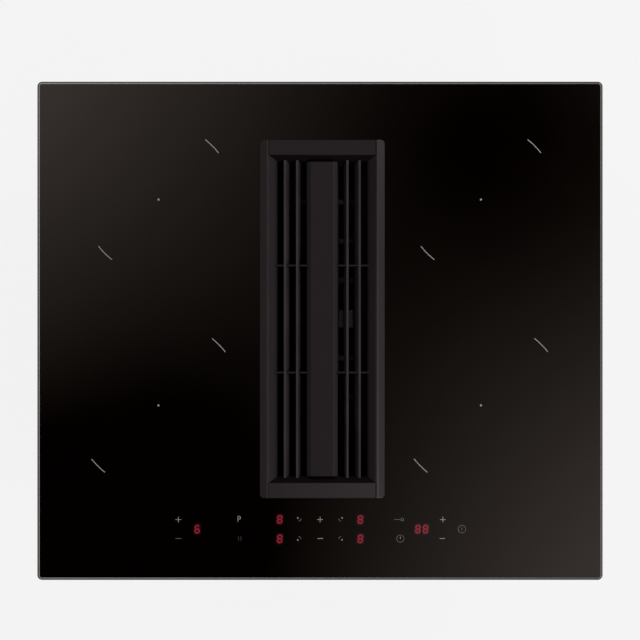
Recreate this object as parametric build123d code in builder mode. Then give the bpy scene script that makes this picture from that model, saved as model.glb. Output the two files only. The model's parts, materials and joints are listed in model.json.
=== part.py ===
from build123d import *
import math
import os

# Downdraft induction cooktop, built into a worktop cut-out. Millimetres, +X right, +Y rear, +Z up.
# The origin is the middle of the glass in plan, at the level of the worktop's upper face.

os.makedirs("parts", exist_ok=True)

# ---------------------------------------------------------------- glass, worktop and hob tray
GLASS_LENGTH = 590.0
GLASS_DEPTH = 520.0
GLASS_THICKNESS = 4.0
GLASS_CORNER_RADIUS = 5.0
GLASS_BEVEL_WIDTH = 2.0
GLASS_BEVEL_HEIGHT = 1.2
SEAL_THICKNESS = 2.0
SEAL_INSET = 2.0
GLASS_OVERLAP = 15.0
CUTOUT_CLEARANCE = 4.0
TRAY_DEPTH = 50.0
TRAY_SHEET = 0.8
TRAY_FLANGE_WIDTH = 3.0
VENT_SLOT_WIDTH = 4.0
INTAKE_SLOTS = 6
INTAKE_SLOT_LENGTH = 51.0
INTAKE_SLOT_PITCH = 9.0
EXHAUST_SLOTS = 6
EXHAUST_ROWS = 2
EXHAUST_SLOT_LENGTH = 20.0
EXHAUST_SLOT_PITCH = 18.0
EXHAUST_ROW_PITCH = 26.0

# ---------------------------------------------------------------- vent grille
VENT_X = 2.4
GRILLE_WIDTH = 130.4
GRILLE_FRONT_MARGIN = 85.65
GRILLE_REAR_MARGIN = 61.05
GRILLE_CORNER_RADIUS = 4.0
GRILLE_RISE = 6.0
GRILLE_GLASS_GAP = 0.6
RAIL_EDGE_HEIGHT = 1.8
RAIL_OUTER_SLOPE = 8.0
RAIL_RIDGE_WIDTH = 1.2
RAIL_INNER_SLOPE = 9.3
RAIL_INNER_DROP = 7.4
RAIL_WALL = 2.6
END_BAR_DEPTH = 15.7
END_BAR_DROP = 0.6
END_SLOPE_DEPTH = 6.8
END_WALL = 2.8
END_SEAM = 0.3
FIN_OUTER_X = 39.0
FIN_INNER_X = 26.3
FIN_THICKNESS = 2.2
FIN_OUTER_LEAN = 5.0
FIN_INNER_LEAN = 3.0
FIN_TOP_DROP = 4.0
FIN_HEIGHT = 12.0
FIN_TENON = 1.5
CENTER_BAR_WIDTH = 23.4
CENTER_BAR_SLOPE_WIDTH = 4.6
CENTER_BAR_SLOPE_DROP = 3.5
CENTER_BAR_TOP_DROP = 2.5
CENTER_BAR_HEIGHT = 11.5
CENTER_BAR_WALL = 2.5
CENTER_BAR_INNER_STEP = 1.0
RIB_THICKNESS = 2.2
RIB_HEIGHT = 5.0
RIB_SPACING = 111.6
RIB_DROP = 5.2
RIB_END_IN_SLOPE = 3.0
PAD_LENGTH = 24.0
PAD_SPACING = 60.0

# ---------------------------------------------------------------- collar, air well and grease filter
APERTURE_COVER_SIDE = 6.2
APERTURE_COVER_END = 6.65
APERTURE_CORNER_RADIUS = 6.0
WELL_CORNER_CUT = 3.5
COLLAR_WALL = 2.5
COLLAR_FLANGE_WIDTH = 12.0
COLLAR_FLANGE_CUT = 12.0
COLLAR_FLANGE_THICKNESS = 1.6
COLLAR_SKIRT_DEPTH = 12.0
COLLAR_BELOW_GLASS_TOP = 3.6
LEDGE_TOP = 1.0
LEDGE_THICKNESS = 2.0
LEDGE_WIDTH = 4.0
WELL_WALL = 2.3
WELL_REACH_BELOW_TRAY = 6.0
FILTER_FLANGE_THICKNESS = 1.6
FILTER_WALL = 1.2
FILTER_DEPTH = 39.0
FILTER_CORNER_CUT = 4.0
FILTER_DRAFT = 4.0
FILTER_FLOOR_LEDGE = 6.0
MESH_HEIGHT = 8.0
MESH_PLEATS = 10
MESH_WALL = 1.6
GRID_THICKNESS = 1.0
GRID_BORDER = 5.0
GRID_ROWS = 8
GRID_COLUMNS = 3
GRID_BAR = 5.0
GRIP_WIDTH = 18.0
GRIP_SPAN = 76.0
GRIP_RISE = 14.0
GRIP_THICKNESS = 1.5

# ---------------------------------------------------------------- induction zones and electronics
ZONE_X_OFFSET = 0.3
ZONE_FROM_CARRIER_REAR = 75.1
ZONE_FROM_CARRIER_FRONT = 90.1
ZONE_SIDE_GAP = 8.0
ZONE_RADIUS_STEP = 10.0
COIL_MARGIN = 8.0
COIL_BORE_RADIUS = 22.0
COIL_THICKNESS = 5.0
COIL_SIDES = 20
COIL_TOP = -1.5
FORMER_THICKNESS = 2.0
FORMER_ARM_OVERHANG = 3.0
FORMER_ARM_WIDTH = 16.0
FERRITE_LENGTH = 44.0
FERRITE_WIDTH = 12.0
FERRITE_THICKNESS = 4.0
FERRITES_PER_COIL = 6
SENSOR_SIZE = 11.0
CARRIER_SHEET = 1.5
CARRIER_INNER_X = 70.0
CARRIER_SIDE_GAP = 10.0
CARRIER_REAR_GAP = 29.0
CARRIER_TOUCH_GAP = 24.0
BOARD_LENGTH = 220.0
BOARD_SIDE_GAP = 10.0
BOARD_THICKNESS = 1.6
BOARD_LIFT = 4.0
BOARD_Y = -20.0
CHOKE_X = 105.0
CHOKE_LENGTH = 30.0
CHOKE_WIDTH = 34.0
CHOKE_PITCH = 40.0
FILTER_BLOCK_SIZE = 24.0
COMPONENT_HEIGHT = 18.0
SINK_LENGTH = 180.0
SINK_WIDTH = 50.0
SINK_HEIGHT = 22.0
SINK_BASE = 4.0
SINK_FINS = 7
SINK_FIN_THICKNESS = 1.6
FAN_SIZE = 86.0
FAN_HEIGHT = 25.0
FAN_FROM_CARRIER_SIDE = 61.0
FAN_FROM_CARRIER_REAR = 52.0
FAN_CHAMBER_CUT = 24.0
FAN_BRIDGE_WIDTH = 7.0
FAN_ROTOR_RADIUS = 30.0
FAN_HUB_RADIUS = 10.0
FAN_AXLE_RADIUS = 2.0
FAN_BLADE_THICKNESS = 1.0
FAN_BLADES = 12
FAN_WALL = 2.0
TOUCH_FROM_FRONT_EDGE = 53.0
TOUCH_LENGTH = 330.0
TOUCH_WIDTH = 30.0
TOUCH_DEPTH = 8.0
TOUCH_WALL = 2.0
TOUCH_BELOW_GLASS = 2.0
TOUCH_LEG = 10.0
TOUCH_LEGS = 3
DIGIT_LENGTH = 10.0
DIGIT_WIDTH = 7.0
TIMER_DISPLAY_WIDTH = 15.4
DIGIT_ROW_OFFSET = 10.0
SINGLE_DIGIT_X = -128.1
ZONE_DIGIT_X = 42.1
TIMER_DIGITS_X = 106.3
DISPLAY_THICKNESS = 1.0
CABLE_FROM_SIDE = 41.0
CABLE_BORE_RADIUS = 6.5
GLAND_WALL = 2.5
GLAND_HEX_WALL = 4.5
GLAND_LENGTH = 22.0
GLAND_SIDES = 12
TERMINAL_LENGTH = 46.0
TERMINAL_WIDTH = 18.0
TERMINAL_HEIGHT = 20.0
TERMINAL_FLOOR = 4.0
TERMINAL_WAYS = 4
TERMINAL_PITCH = 10.4
TERMINAL_WAY_LENGTH = 7.6
TERMINAL_WAY_WIDTH = 11.0
TERMINAL_FROM_REAR = 20.0

# ---------------------------------------------------------------- suction box, blower and overflow tank
PLENUM_FRONT_MARGIN = 22.3
PLENUM_REAR_MARGIN = 7.7
PLENUM_DEPTH = 50.0
PLENUM_WALL = 2.5
PLENUM_FLANGE = 10.0
PLENUM_CORNER_CUT = 12.0
DRAIN_OFF_MIDDLE = 4.0
DRAIN_LENGTH = 90.0
DRAIN_WIDTH = 50.0
DRAIN_DEPTH = 12.0
DRAIN_TAPER = 45.0
BLOWER_REAR_GAP = 23.9
WHEEL_RADIUS = 95.0
BLADE_DEPTH = 15.0
WHEEL_HEIGHT = 70.0
WHEEL_PLATE = 2.0
BLADE_COUNT = 28
BLADE_CURVE_RADIUS = 14.0
BLADE_ARC = 80.0
BLADE_FACETS = 2
BLADE_THICKNESS = 1.2
SCROLL_WHEEL_GAP = 17.0
SCROLL_STEP = 16.0
SCROLL_WALL = 2.0
DUCT_HEIGHT = 87.0
THROAT_FROM_SCROLL_SIDE = 66.0
TONGUE_RADIUS = 4.0
SCROLL_OUTLET_STEP = 2.0
NOZZLE_EYE_GAP = 4.0
NOZZLE_BELL = 8.0
NOZZLE_WALL = 1.6
NOZZLE_REACH = 20.0
NOZZLE_FLANGE = 8.0
NOZZLE_SIDE_GAP = 1.9
NOZZLE_SIDES = 32
NOZZLE_TAPER = 45.0
ROTOR_RADIUS = 43.0
ROTOR_SIDES = 36
ROTOR_HEIGHT = 41.0
ROTOR_WALL = 2.5
SHAFT_RADIUS = 4.0
SHAFT_RUNNING_GAP = 0.05
BEARING_TUBE_RADIUS = 9.0
MOTOR_BASE_RADIUS = 60.0
MOTOR_BASE_THICKNESS = 3.0
STATOR_RADIUS = 37.0
STATOR_CORE_RADIUS = 17.0
STATOR_POLES = 9
STATOR_POLE_WIDTH = 6.0
STATOR_SHOE_WIDTH = 18.0
STATOR_SHOE_DEPTH = 4.0
STATOR_HEIGHT = 24.0
STATOR_LIFT = 7.0
SPIGOT_LENGTH = 220.0
SPIGOT_DEPTH = 30.0
DIFFUSER_DEPTH = 36.0
SPIGOT_WALL = 2.0
FLAP_THICKNESS = 1.6
FLAP_SIDE_GAP = 1.5
FLAP_BACK_FROM_OUTLET = 8.0
PIN_RADIUS = 2.0
PIN_RUNNING_GAP = 0.05
KNUCKLE_RADIUS = 3.6
KNUCKLE_SIDES = 12
TANK_LENGTH = 170.0
TANK_WIDTH = 160.0
TANK_HEIGHT = 68.0
TANK_WALL = 2.0
TANK_DRAFT = 2.0
TANK_FLANGE = 7.0
TANK_LIP_DEPTH = 17.0
TANK_BELOW_DRAIN = 4.0
TANK_CORNER_CUT = 11.0
TANK_SCROLL_GAP = 8.0
RAIL_SHEET = 1.5
SLIDE_GAP = 0.5
DRIVER_LENGTH = 60.0
DRIVER_WIDTH = 90.0
DRIVER_HEIGHT = 40.0
DRIVER_CORNER_CUT = 4.0
BRACKET_WIDTH = 26.0
BRACKET_SHEET = 1.5
BRACKET_DROP = 36.0
BRACKET_REACH = 16.0
BRACKET_SPACING_Y = 300.0
BRACKET_HOLE_RADIUS = 2.25
BRACKET_HOLE_FROM_WALL = 10.0

# Named clearances
FIT_GAP = 0.1
EASY_GAP = 0.5
LOOSE_GAP = 1.0

# ---------------------------------------------------------------- levels and sizes worked out from the above
GLASS_BOTTOM = SEAL_THICKNESS
GLASS_TOP = GLASS_BOTTOM + GLASS_THICKNESS
GRILLE_TOP = GLASS_TOP + GRILLE_RISE
GRILLE_UNDERSIDE = GLASS_TOP + GRILLE_GLASS_GAP
CUTOUT_LENGTH = GLASS_LENGTH - 2 * GLASS_OVERLAP
CUTOUT_DEPTH = GLASS_DEPTH - 2 * GLASS_OVERLAP
TRAY_LENGTH = CUTOUT_LENGTH - 2 * CUTOUT_CLEARANCE
TRAY_WIDTH = CUTOUT_DEPTH - 2 * CUTOUT_CLEARANCE
TRAY_TOP = GLASS_BOTTOM
TRAY_BOTTOM = TRAY_TOP - TRAY_DEPTH
TRAY_FLOOR = TRAY_BOTTOM + TRAY_SHEET

VENT_Y = (GRILLE_FRONT_MARGIN - GRILLE_REAR_MARGIN) / 2
GRILLE_LENGTH = GLASS_DEPTH - GRILLE_FRONT_MARGIN - GRILLE_REAR_MARGIN
APERTURE_WIDTH = GRILLE_WIDTH - 2 * APERTURE_COVER_SIDE
APERTURE_LENGTH = GRILLE_LENGTH - 2 * APERTURE_COVER_END
RIDGE_OUTER_X = GRILLE_WIDTH / 2 - RAIL_OUTER_SLOPE
RIDGE_INNER_X = RIDGE_OUTER_X - RAIL_RIDGE_WIDTH
FUNNEL_X = RIDGE_INNER_X - RAIL_INNER_SLOPE
GRILLE_END_Y = GRILLE_LENGTH / 2
SLOPE_TOP_Y = GRILLE_END_Y - END_BAR_DEPTH
FUNNEL_Y = SLOPE_TOP_Y - END_SLOPE_DEPTH
SLOPE_FOOT = GRILLE_TOP - RAIL_INNER_DROP
COMB_TOP = SLOPE_FOOT - END_WALL / 2
RIB_TOP = GRILLE_TOP - RIB_DROP
FIN_TOP = GRILLE_TOP - FIN_TOP_DROP
FIN_BOTTOM = FIN_TOP - FIN_HEIGHT

COLLAR_OUTER_WIDTH = APERTURE_WIDTH - 2 * EASY_GAP
COLLAR_OUTER_LENGTH = APERTURE_LENGTH - 2 * EASY_GAP
COLLAR_INNER_WIDTH = COLLAR_OUTER_WIDTH - 2 * COLLAR_WALL
COLLAR_INNER_LENGTH = COLLAR_OUTER_LENGTH - 2 * COLLAR_WALL
LEDGE_INNER_WIDTH = COLLAR_INNER_WIDTH - 2 * LEDGE_WIDTH
LEDGE_INNER_LENGTH = COLLAR_INNER_LENGTH - 2 * LEDGE_WIDTH
WELL_OUTER_WIDTH = COLLAR_INNER_WIDTH - 2 * FIT_GAP
WELL_OUTER_LENGTH = COLLAR_INNER_LENGTH - 2 * FIT_GAP
WELL_TOP = LEDGE_TOP - LEDGE_THICKNESS
GLAND_NECK_RADIUS = CABLE_BORE_RADIUS + GLAND_WALL
GLAND_HEX_RADIUS = CABLE_BORE_RADIUS + GLAND_HEX_WALL
FILTER_OUTER_WIDTH = LEDGE_INNER_WIDTH - 2 * LOOSE_GAP
FILTER_OUTER_LENGTH = LEDGE_INNER_LENGTH - 2 * LOOSE_GAP
FILTER_BOTTOM = LEDGE_TOP - FILTER_DEPTH
FILTER_FLOOR = FILTER_BOTTOM + FILTER_WALL
FILTER_NARROWING = 2 * (FILTER_DEPTH - FILTER_WALL) * math.tan(math.radians(FILTER_DRAFT))
FILTER_FLOOR_WIDTH = FILTER_OUTER_WIDTH - 2 * FILTER_WALL - FILTER_NARROWING
FILTER_FLOOR_LENGTH = FILTER_OUTER_LENGTH - 2 * FILTER_WALL - FILTER_NARROWING
GRID_BOTTOM = FILTER_FLOOR + MESH_HEIGHT
GRID_TOP = GRID_BOTTOM + GRID_THICKNESS

TOUCH_Y = TOUCH_FROM_FRONT_EDGE - GLASS_DEPTH / 2
CARRIER_OUTER_X = TRAY_LENGTH / 2 - CARRIER_SIDE_GAP
CARRIER_WIDTH = CARRIER_OUTER_X - CARRIER_INNER_X
CARRIER_X = (CARRIER_INNER_X + CARRIER_OUTER_X) / 2
CARRIER_FRONT_Y = TOUCH_Y + TOUCH_WIDTH / 2 + CARRIER_TOUCH_GAP
CARRIER_REAR_Y = TRAY_WIDTH / 2 - CARRIER_REAR_GAP
BOARD_WIDTH = CARRIER_WIDTH - 2 * BOARD_SIDE_GAP
FAN_X = CARRIER_OUTER_X - FAN_FROM_CARRIER_SIDE
FAN_Y = CARRIER_REAR_Y - FAN_FROM_CARRIER_REAR
CABLE_X = CABLE_FROM_SIDE - TRAY_LENGTH / 2
ZONE_X = CARRIER_X + ZONE_X_OFFSET
REAR_ZONE_Y = CARRIER_REAR_Y - ZONE_FROM_CARRIER_REAR
FRONT_ZONE_Y = CARRIER_FRONT_Y + ZONE_FROM_CARRIER_FRONT
FRONT_ZONE_RADIUS = CARRIER_WIDTH / 2 - ZONE_SIDE_GAP
REAR_ZONE_RADIUS = FRONT_ZONE_RADIUS - ZONE_RADIUS_STEP
COIL_BOTTOM = COIL_TOP - COIL_THICKNESS
FORMER_BOTTOM = COIL_BOTTOM - FORMER_THICKNESS
CARRIER_TOP = FORMER_BOTTOM - FERRITE_THICKNESS
HOLDER_TOP = GLASS_BOTTOM - TOUCH_BELOW_GLASS
HOLDER_BOTTOM = HOLDER_TOP - TOUCH_DEPTH
BOARD_BOTTOM = TRAY_FLOOR + BOARD_LIFT
BOARD_TOP = BOARD_BOTTOM + BOARD_THICKNESS
ZONES = {
    "rear_left": (-ZONE_X, REAR_ZONE_Y, REAR_ZONE_RADIUS),
    "rear_right": (ZONE_X, REAR_ZONE_Y, REAR_ZONE_RADIUS),
    "front_left": (-ZONE_X, FRONT_ZONE_Y, FRONT_ZONE_RADIUS),
    "front_right": (ZONE_X, FRONT_ZONE_Y, FRONT_ZONE_RADIUS),
}
SIDES = {"left": -1, "right": 1}

WHEEL_EYE_RADIUS = WHEEL_RADIUS - BLADE_DEPTH
NOZZLE_RADIUS = WHEEL_EYE_RADIUS - NOZZLE_EYE_GAP
INLET_HOLE_RADIUS = NOZZLE_RADIUS + NOZZLE_BELL + NOZZLE_WALL
NOZZLE_FLANGE_RADIUS = INLET_HOLE_RADIUS + NOZZLE_FLANGE
PLENUM_TOP = TRAY_BOTTOM
PLENUM_BOTTOM = PLENUM_TOP - PLENUM_DEPTH
PLENUM_FLOOR = PLENUM_BOTTOM + PLENUM_WALL
PLENUM_WIDTH = 2 * (NOZZLE_FLANGE_RADIUS + NOZZLE_SIDE_GAP + PLENUM_WALL)
PLENUM_FRONT_Y = VENT_Y - APERTURE_LENGTH / 2 - PLENUM_FRONT_MARGIN
PLENUM_REAR_Y = VENT_Y + APERTURE_LENGTH / 2 + PLENUM_REAR_MARGIN
PLENUM_LENGTH = PLENUM_REAR_Y - PLENUM_FRONT_Y
PLENUM_Y = (PLENUM_REAR_Y + PLENUM_FRONT_Y) / 2
BLOWER_Y = PLENUM_REAR_Y - PLENUM_WALL - BLOWER_REAR_GAP - NOZZLE_FLANGE_RADIUS
SCROLL_START_RADIUS = WHEEL_RADIUS + SCROLL_WHEEL_GAP
SCROLL_TOP = PLENUM_BOTTOM
SCROLL_BOTTOM = SCROLL_TOP - DUCT_HEIGHT
SCROLL_FLOOR = SCROLL_BOTTOM + SCROLL_WALL
SCROLL_CEILING = SCROLL_TOP - SCROLL_WALL
THROAT_INNER_X = SCROLL_START_RADIUS - THROAT_FROM_SCROLL_SIDE
THROAT_OUTER_X = SCROLL_START_RADIUS + 2.5 * SCROLL_STEP
THROAT_WIDTH = THROAT_OUTER_X - THROAT_INNER_X
THROAT_X = VENT_X + (THROAT_OUTER_X + THROAT_INNER_X) / 2
THROAT_HEIGHT = DUCT_HEIGHT - 2 * SCROLL_WALL
SCROLL_OUTLET_Y = SCROLL_START_RADIUS - SCROLL_OUTLET_STEP
OUTLET_Y = BLOWER_Y + SCROLL_OUTLET_Y
SPIGOT_Y = OUTLET_Y + DIFFUSER_DEPTH
MOTOR_BASE_TOP = SCROLL_FLOOR + MOTOR_BASE_THICKNESS
WHEEL_BOTTOM = SCROLL_FLOOR + 2 * MOTOR_BASE_THICKNESS
WHEEL_TOP = WHEEL_BOTTOM + WHEEL_HEIGHT
ROTOR_TOP = WHEEL_BOTTOM + ROTOR_HEIGHT
SHAFT_BOTTOM = MOTOR_BASE_TOP + EASY_GAP
BEARING_TUBE_TOP = ROTOR_TOP - ROTOR_WALL - 2 * LOOSE_GAP
FLAP_Y = OUTLET_Y - FLAP_BACK_FROM_OUTLET
FLAP_PIN_Z = SCROLL_CEILING - KNUCKLE_RADIUS - EASY_GAP

SCROLL_FRONT_Y = BLOWER_Y - SCROLL_START_RADIUS - 1.5 * SCROLL_STEP - SCROLL_WALL
TANK_REAR_Y = SCROLL_FRONT_Y - TANK_SCROLL_GAP
TANK_Y = TANK_REAR_Y - TANK_WIDTH / 2
DRAIN_Y = (PLENUM_FRONT_Y + SCROLL_FRONT_Y) / 2 + DRAIN_OFF_MIDDLE
DRAIN_BOTTOM = PLENUM_BOTTOM - DRAIN_DEPTH
TANK_TOP = DRAIN_BOTTOM - TANK_BELOW_DRAIN


def vent_plan(level):
    """Horizontal plane through the vent's middle."""
    return Plane(origin=(VENT_X, VENT_Y, level), x_dir=(1, 0, 0), z_dir=(0, 0, 1))


def blower_plan(level):
    """Horizontal plane through the blower's axis."""
    return Plane(origin=(VENT_X, BLOWER_Y, level), x_dir=(1, 0, 0), z_dir=(0, 0, 1))


VENT_SECTION = Plane(origin=(VENT_X, VENT_Y, 0), x_dir=(1, 0, 0), z_dir=(0, -1, 0))
VENT_LONG_SECTION = Plane(origin=(VENT_X, VENT_Y, 0), x_dir=(0, 1, 0), z_dir=(1, 0, 0))
RIB_SECTION = Plane(origin=(VENT_X, VENT_Y, RIB_TOP - RIB_HEIGHT / 2), x_dir=(0, 1, 0), z_dir=(1, 0, 0))


def cut_cornered(width, length, corner_cut):
    """Rectangle with each corner cut off at 45 degrees, for pressed and moulded boxes."""
    with BuildSketch() as outline:
        Rectangle(width, length)
        chamfer(outline.vertices(), corner_cut)
    return outline.sketch


# ---------------------------------------------------------------- glass and what seals it
with BuildPart() as glass_top:
    with BuildSketch(Plane.XY.offset(GLASS_BOTTOM)):
        RectangleRounded(GLASS_LENGTH, GLASS_DEPTH, GLASS_CORNER_RADIUS)
    extrude(amount=GLASS_THICKNESS - GLASS_BEVEL_HEIGHT)
    with BuildSketch(Plane.XY.offset(GLASS_TOP - GLASS_BEVEL_HEIGHT)):
        RectangleRounded(GLASS_LENGTH, GLASS_DEPTH, GLASS_CORNER_RADIUS)
    bevel_angle = math.degrees(math.atan2(GLASS_BEVEL_WIDTH, GLASS_BEVEL_HEIGHT))
    extrude(amount=GLASS_BEVEL_HEIGHT, taper=bevel_angle)
    with BuildSketch(vent_plan(GLASS_BOTTOM)):
        RectangleRounded(APERTURE_WIDTH, APERTURE_LENGTH, APERTURE_CORNER_RADIUS)
    extrude(amount=GLASS_THICKNESS, mode=Mode.SUBTRACT)
glass_top.part.label = "glass_top"
export_step(glass_top.part, "parts/glass_top.step")

with BuildPart() as worktop_seal:
    with BuildSketch(Plane.XY):
        Rectangle(GLASS_LENGTH - 2 * SEAL_INSET, GLASS_DEPTH - 2 * SEAL_INSET)
        Rectangle(CUTOUT_LENGTH + CUTOUT_CLEARANCE, CUTOUT_DEPTH + CUTOUT_CLEARANCE, mode=Mode.SUBTRACT)
    extrude(amount=SEAL_THICKNESS)
worktop_seal.part.label = "worktop_seal"
export_step(worktop_seal.part, "parts/worktop_seal.step")

# ---------------------------------------------------------------- hob tray
with BuildPart() as hob_tray:
    with BuildSketch(Plane.XY.offset(TRAY_BOTTOM)):
        Rectangle(TRAY_LENGTH, TRAY_WIDTH)
    extrude(amount=TRAY_DEPTH)
    with BuildSketch(Plane.XY.offset(TRAY_TOP - TRAY_SHEET)):
        Rectangle(TRAY_LENGTH + 2 * TRAY_FLANGE_WIDTH, TRAY_WIDTH + 2 * TRAY_FLANGE_WIDTH)
    extrude(amount=TRAY_SHEET)
    with BuildSketch(Plane.XY.offset(TRAY_FLOOR)):
        Rectangle(TRAY_LENGTH - 2 * TRAY_SHEET, TRAY_WIDTH - 2 * TRAY_SHEET)
    extrude(amount=TRAY_DEPTH, mode=Mode.SUBTRACT)
    with BuildSketch(vent_plan(TRAY_BOTTOM)):
        add(cut_cornered(WELL_OUTER_WIDTH + 2 * EASY_GAP, WELL_OUTER_LENGTH + 2 * EASY_GAP, WELL_CORNER_CUT))
    extrude(amount=TRAY_SHEET, mode=Mode.SUBTRACT)
    # slots below each cooling fan, and two rows near the front edge where the warm air leaves
    with BuildSketch(Plane.XY.offset(TRAY_BOTTOM)):
        for side in SIDES.values():
            with Locations((side * FAN_X, FAN_Y)):
                with GridLocations(0, INTAKE_SLOT_PITCH, 1, INTAKE_SLOTS):
                    Rectangle(INTAKE_SLOT_LENGTH, VENT_SLOT_WIDTH)
            with Locations((side * FAN_X, CARRIER_FRONT_Y)):
                with GridLocations(EXHAUST_SLOT_PITCH, EXHAUST_ROW_PITCH, EXHAUST_SLOTS, EXHAUST_ROWS):
                    Rectangle(VENT_SLOT_WIDTH, EXHAUST_SLOT_LENGTH)
    extrude(amount=TRAY_SHEET, mode=Mode.SUBTRACT)
    with BuildSketch(Plane.XZ.offset(-TRAY_WIDTH / 2)):
        with Locations((CABLE_X, TRAY_BOTTOM + TRAY_DEPTH / 2)):
            RegularPolygon(GLAND_NECK_RADIUS, GLAND_SIDES)
    extrude(amount=TRAY_SHEET, mode=Mode.SUBTRACT)
hob_tray.part.label = "hob_tray"
export_step(hob_tray.part, "parts/hob_tray.step")

# ---------------------------------------------------------------- hold-down brackets
with BuildPart() as hold_down_brackets:
    for side in SIDES.values():
        wall_x = side * TRAY_LENGTH / 2
        foot_z = TRAY_TOP - TRAY_SHEET - BRACKET_DROP - LOOSE_GAP
        with BuildSketch(Plane.XZ):
            with BuildLine():
                Polyline(
                    (wall_x, foot_z),
                    (wall_x, foot_z + BRACKET_DROP),
                    (wall_x + side * BRACKET_SHEET, foot_z + BRACKET_DROP),
                    (wall_x + side * BRACKET_SHEET, foot_z + BRACKET_SHEET),
                    (wall_x + side * BRACKET_REACH, foot_z + BRACKET_SHEET),
                    (wall_x + side * BRACKET_REACH, foot_z),
                    close=True,
                )
            make_face()
        extrude(amount=BRACKET_SPACING_Y / 2 + BRACKET_WIDTH / 2, both=True)
    with BuildSketch(Plane.XY.offset(TRAY_BOTTOM)):
        Rectangle(TRAY_LENGTH + 2 * BRACKET_REACH, BRACKET_SPACING_Y - BRACKET_WIDTH)
    extrude(amount=TRAY_DEPTH, mode=Mode.SUBTRACT)
    with BuildSketch(Plane.XY.offset(TRAY_BOTTOM)):
        with GridLocations(TRAY_LENGTH + 2 * BRACKET_HOLE_FROM_WALL, BRACKET_SPACING_Y, 2, 2):
            Circle(BRACKET_HOLE_RADIUS)
    extrude(amount=TRAY_DEPTH, mode=Mode.SUBTRACT)
hold_down_brackets.part.label = "hold_down_brackets"
export_step(hold_down_brackets.part, "parts/hold_down_brackets.step")

# ---------------------------------------------------------------- collar and air well
with BuildPart() as well_collar:
    skirt_bottom = GLASS_BOTTOM - COLLAR_SKIRT_DEPTH
    with BuildSketch(vent_plan(GLASS_BOTTOM - COLLAR_FLANGE_THICKNESS)):
        flange_width = APERTURE_WIDTH + 2 * COLLAR_FLANGE_WIDTH
        flange_length = APERTURE_LENGTH + 2 * COLLAR_FLANGE_WIDTH
        add(cut_cornered(flange_width, flange_length, COLLAR_FLANGE_CUT))
    extrude(amount=COLLAR_FLANGE_THICKNESS)
    with BuildSketch(vent_plan(skirt_bottom)):
        add(cut_cornered(COLLAR_OUTER_WIDTH, COLLAR_OUTER_LENGTH, WELL_CORNER_CUT + COLLAR_WALL / 2))
    extrude(amount=COLLAR_SKIRT_DEPTH + GLASS_THICKNESS - COLLAR_BELOW_GLASS_TOP)
    # above the ledge the filter's flange goes in, and below it the air well
    with BuildSketch(vent_plan(skirt_bottom)):
        add(cut_cornered(COLLAR_INNER_WIDTH, COLLAR_INNER_LENGTH, WELL_CORNER_CUT))
    extrude(amount=WELL_TOP - skirt_bottom, mode=Mode.SUBTRACT)
    with BuildSketch(vent_plan(LEDGE_TOP)):
        add(cut_cornered(COLLAR_INNER_WIDTH, COLLAR_INNER_LENGTH, WELL_CORNER_CUT))
    extrude(amount=GLASS_TOP - LEDGE_TOP, mode=Mode.SUBTRACT)
    with BuildSketch(vent_plan(WELL_TOP)):
        add(cut_cornered(LEDGE_INNER_WIDTH, LEDGE_INNER_LENGTH, WELL_CORNER_CUT))
    extrude(amount=LEDGE_THICKNESS, mode=Mode.SUBTRACT)
well_collar.part.label = "well_collar"
export_step(well_collar.part, "parts/well_collar.step")

with BuildPart() as air_well:
    well_bottom = TRAY_BOTTOM - WELL_REACH_BELOW_TRAY
    with BuildSketch(vent_plan(well_bottom)):
        add(cut_cornered(WELL_OUTER_WIDTH, WELL_OUTER_LENGTH, WELL_CORNER_CUT))
        Rectangle(WELL_OUTER_WIDTH - 2 * WELL_WALL, WELL_OUTER_LENGTH - 2 * WELL_WALL, mode=Mode.SUBTRACT)
    extrude(amount=WELL_TOP - well_bottom)
air_well.part.label = "air_well"
export_step(air_well.part, "parts/air_well.step")

# ---------------------------------------------------------------- grease filter
with BuildPart() as filter_tub:
    flange_width = COLLAR_INNER_WIDTH - 2 * EASY_GAP
    flange_length = COLLAR_INNER_LENGTH - 2 * EASY_GAP
    mouth_width = FILTER_OUTER_WIDTH - 2 * FILTER_WALL
    mouth_length = FILTER_OUTER_LENGTH - 2 * FILTER_WALL
    filter_rim = Plane(origin=(VENT_X, VENT_Y, LEDGE_TOP), x_dir=(1, 0, 0), z_dir=(0, 0, -1))
    with BuildSketch(vent_plan(LEDGE_TOP)):
        add(cut_cornered(flange_width, flange_length, WELL_CORNER_CUT))
    extrude(amount=FILTER_FLANGE_THICKNESS)
    with BuildSketch(filter_rim):
        add(cut_cornered(FILTER_OUTER_WIDTH, FILTER_OUTER_LENGTH, FILTER_CORNER_CUT))
    extrude(amount=FILTER_DEPTH, taper=FILTER_DRAFT)
    with BuildSketch(filter_rim):
        add(cut_cornered(mouth_width, mouth_length, FILTER_CORNER_CUT - FILTER_WALL / 2))
    extrude(amount=FILTER_DEPTH - FILTER_WALL, taper=FILTER_DRAFT, mode=Mode.SUBTRACT)
    with BuildSketch(vent_plan(LEDGE_TOP)):
        add(cut_cornered(mouth_width, mouth_length, FILTER_CORNER_CUT - FILTER_WALL / 2))
    extrude(amount=FILTER_FLANGE_THICKNESS, mode=Mode.SUBTRACT)
    with BuildSketch(vent_plan(FILTER_BOTTOM)):
        Rectangle(FILTER_FLOOR_WIDTH - 2 * FILTER_FLOOR_LEDGE, FILTER_FLOOR_LENGTH - 2 * FILTER_FLOOR_LEDGE)
    extrude(amount=FILTER_WALL, mode=Mode.SUBTRACT)
filter_tub.part.label = "filter_tub"
export_step(filter_tub.part, "parts/filter_tub.step")

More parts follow.
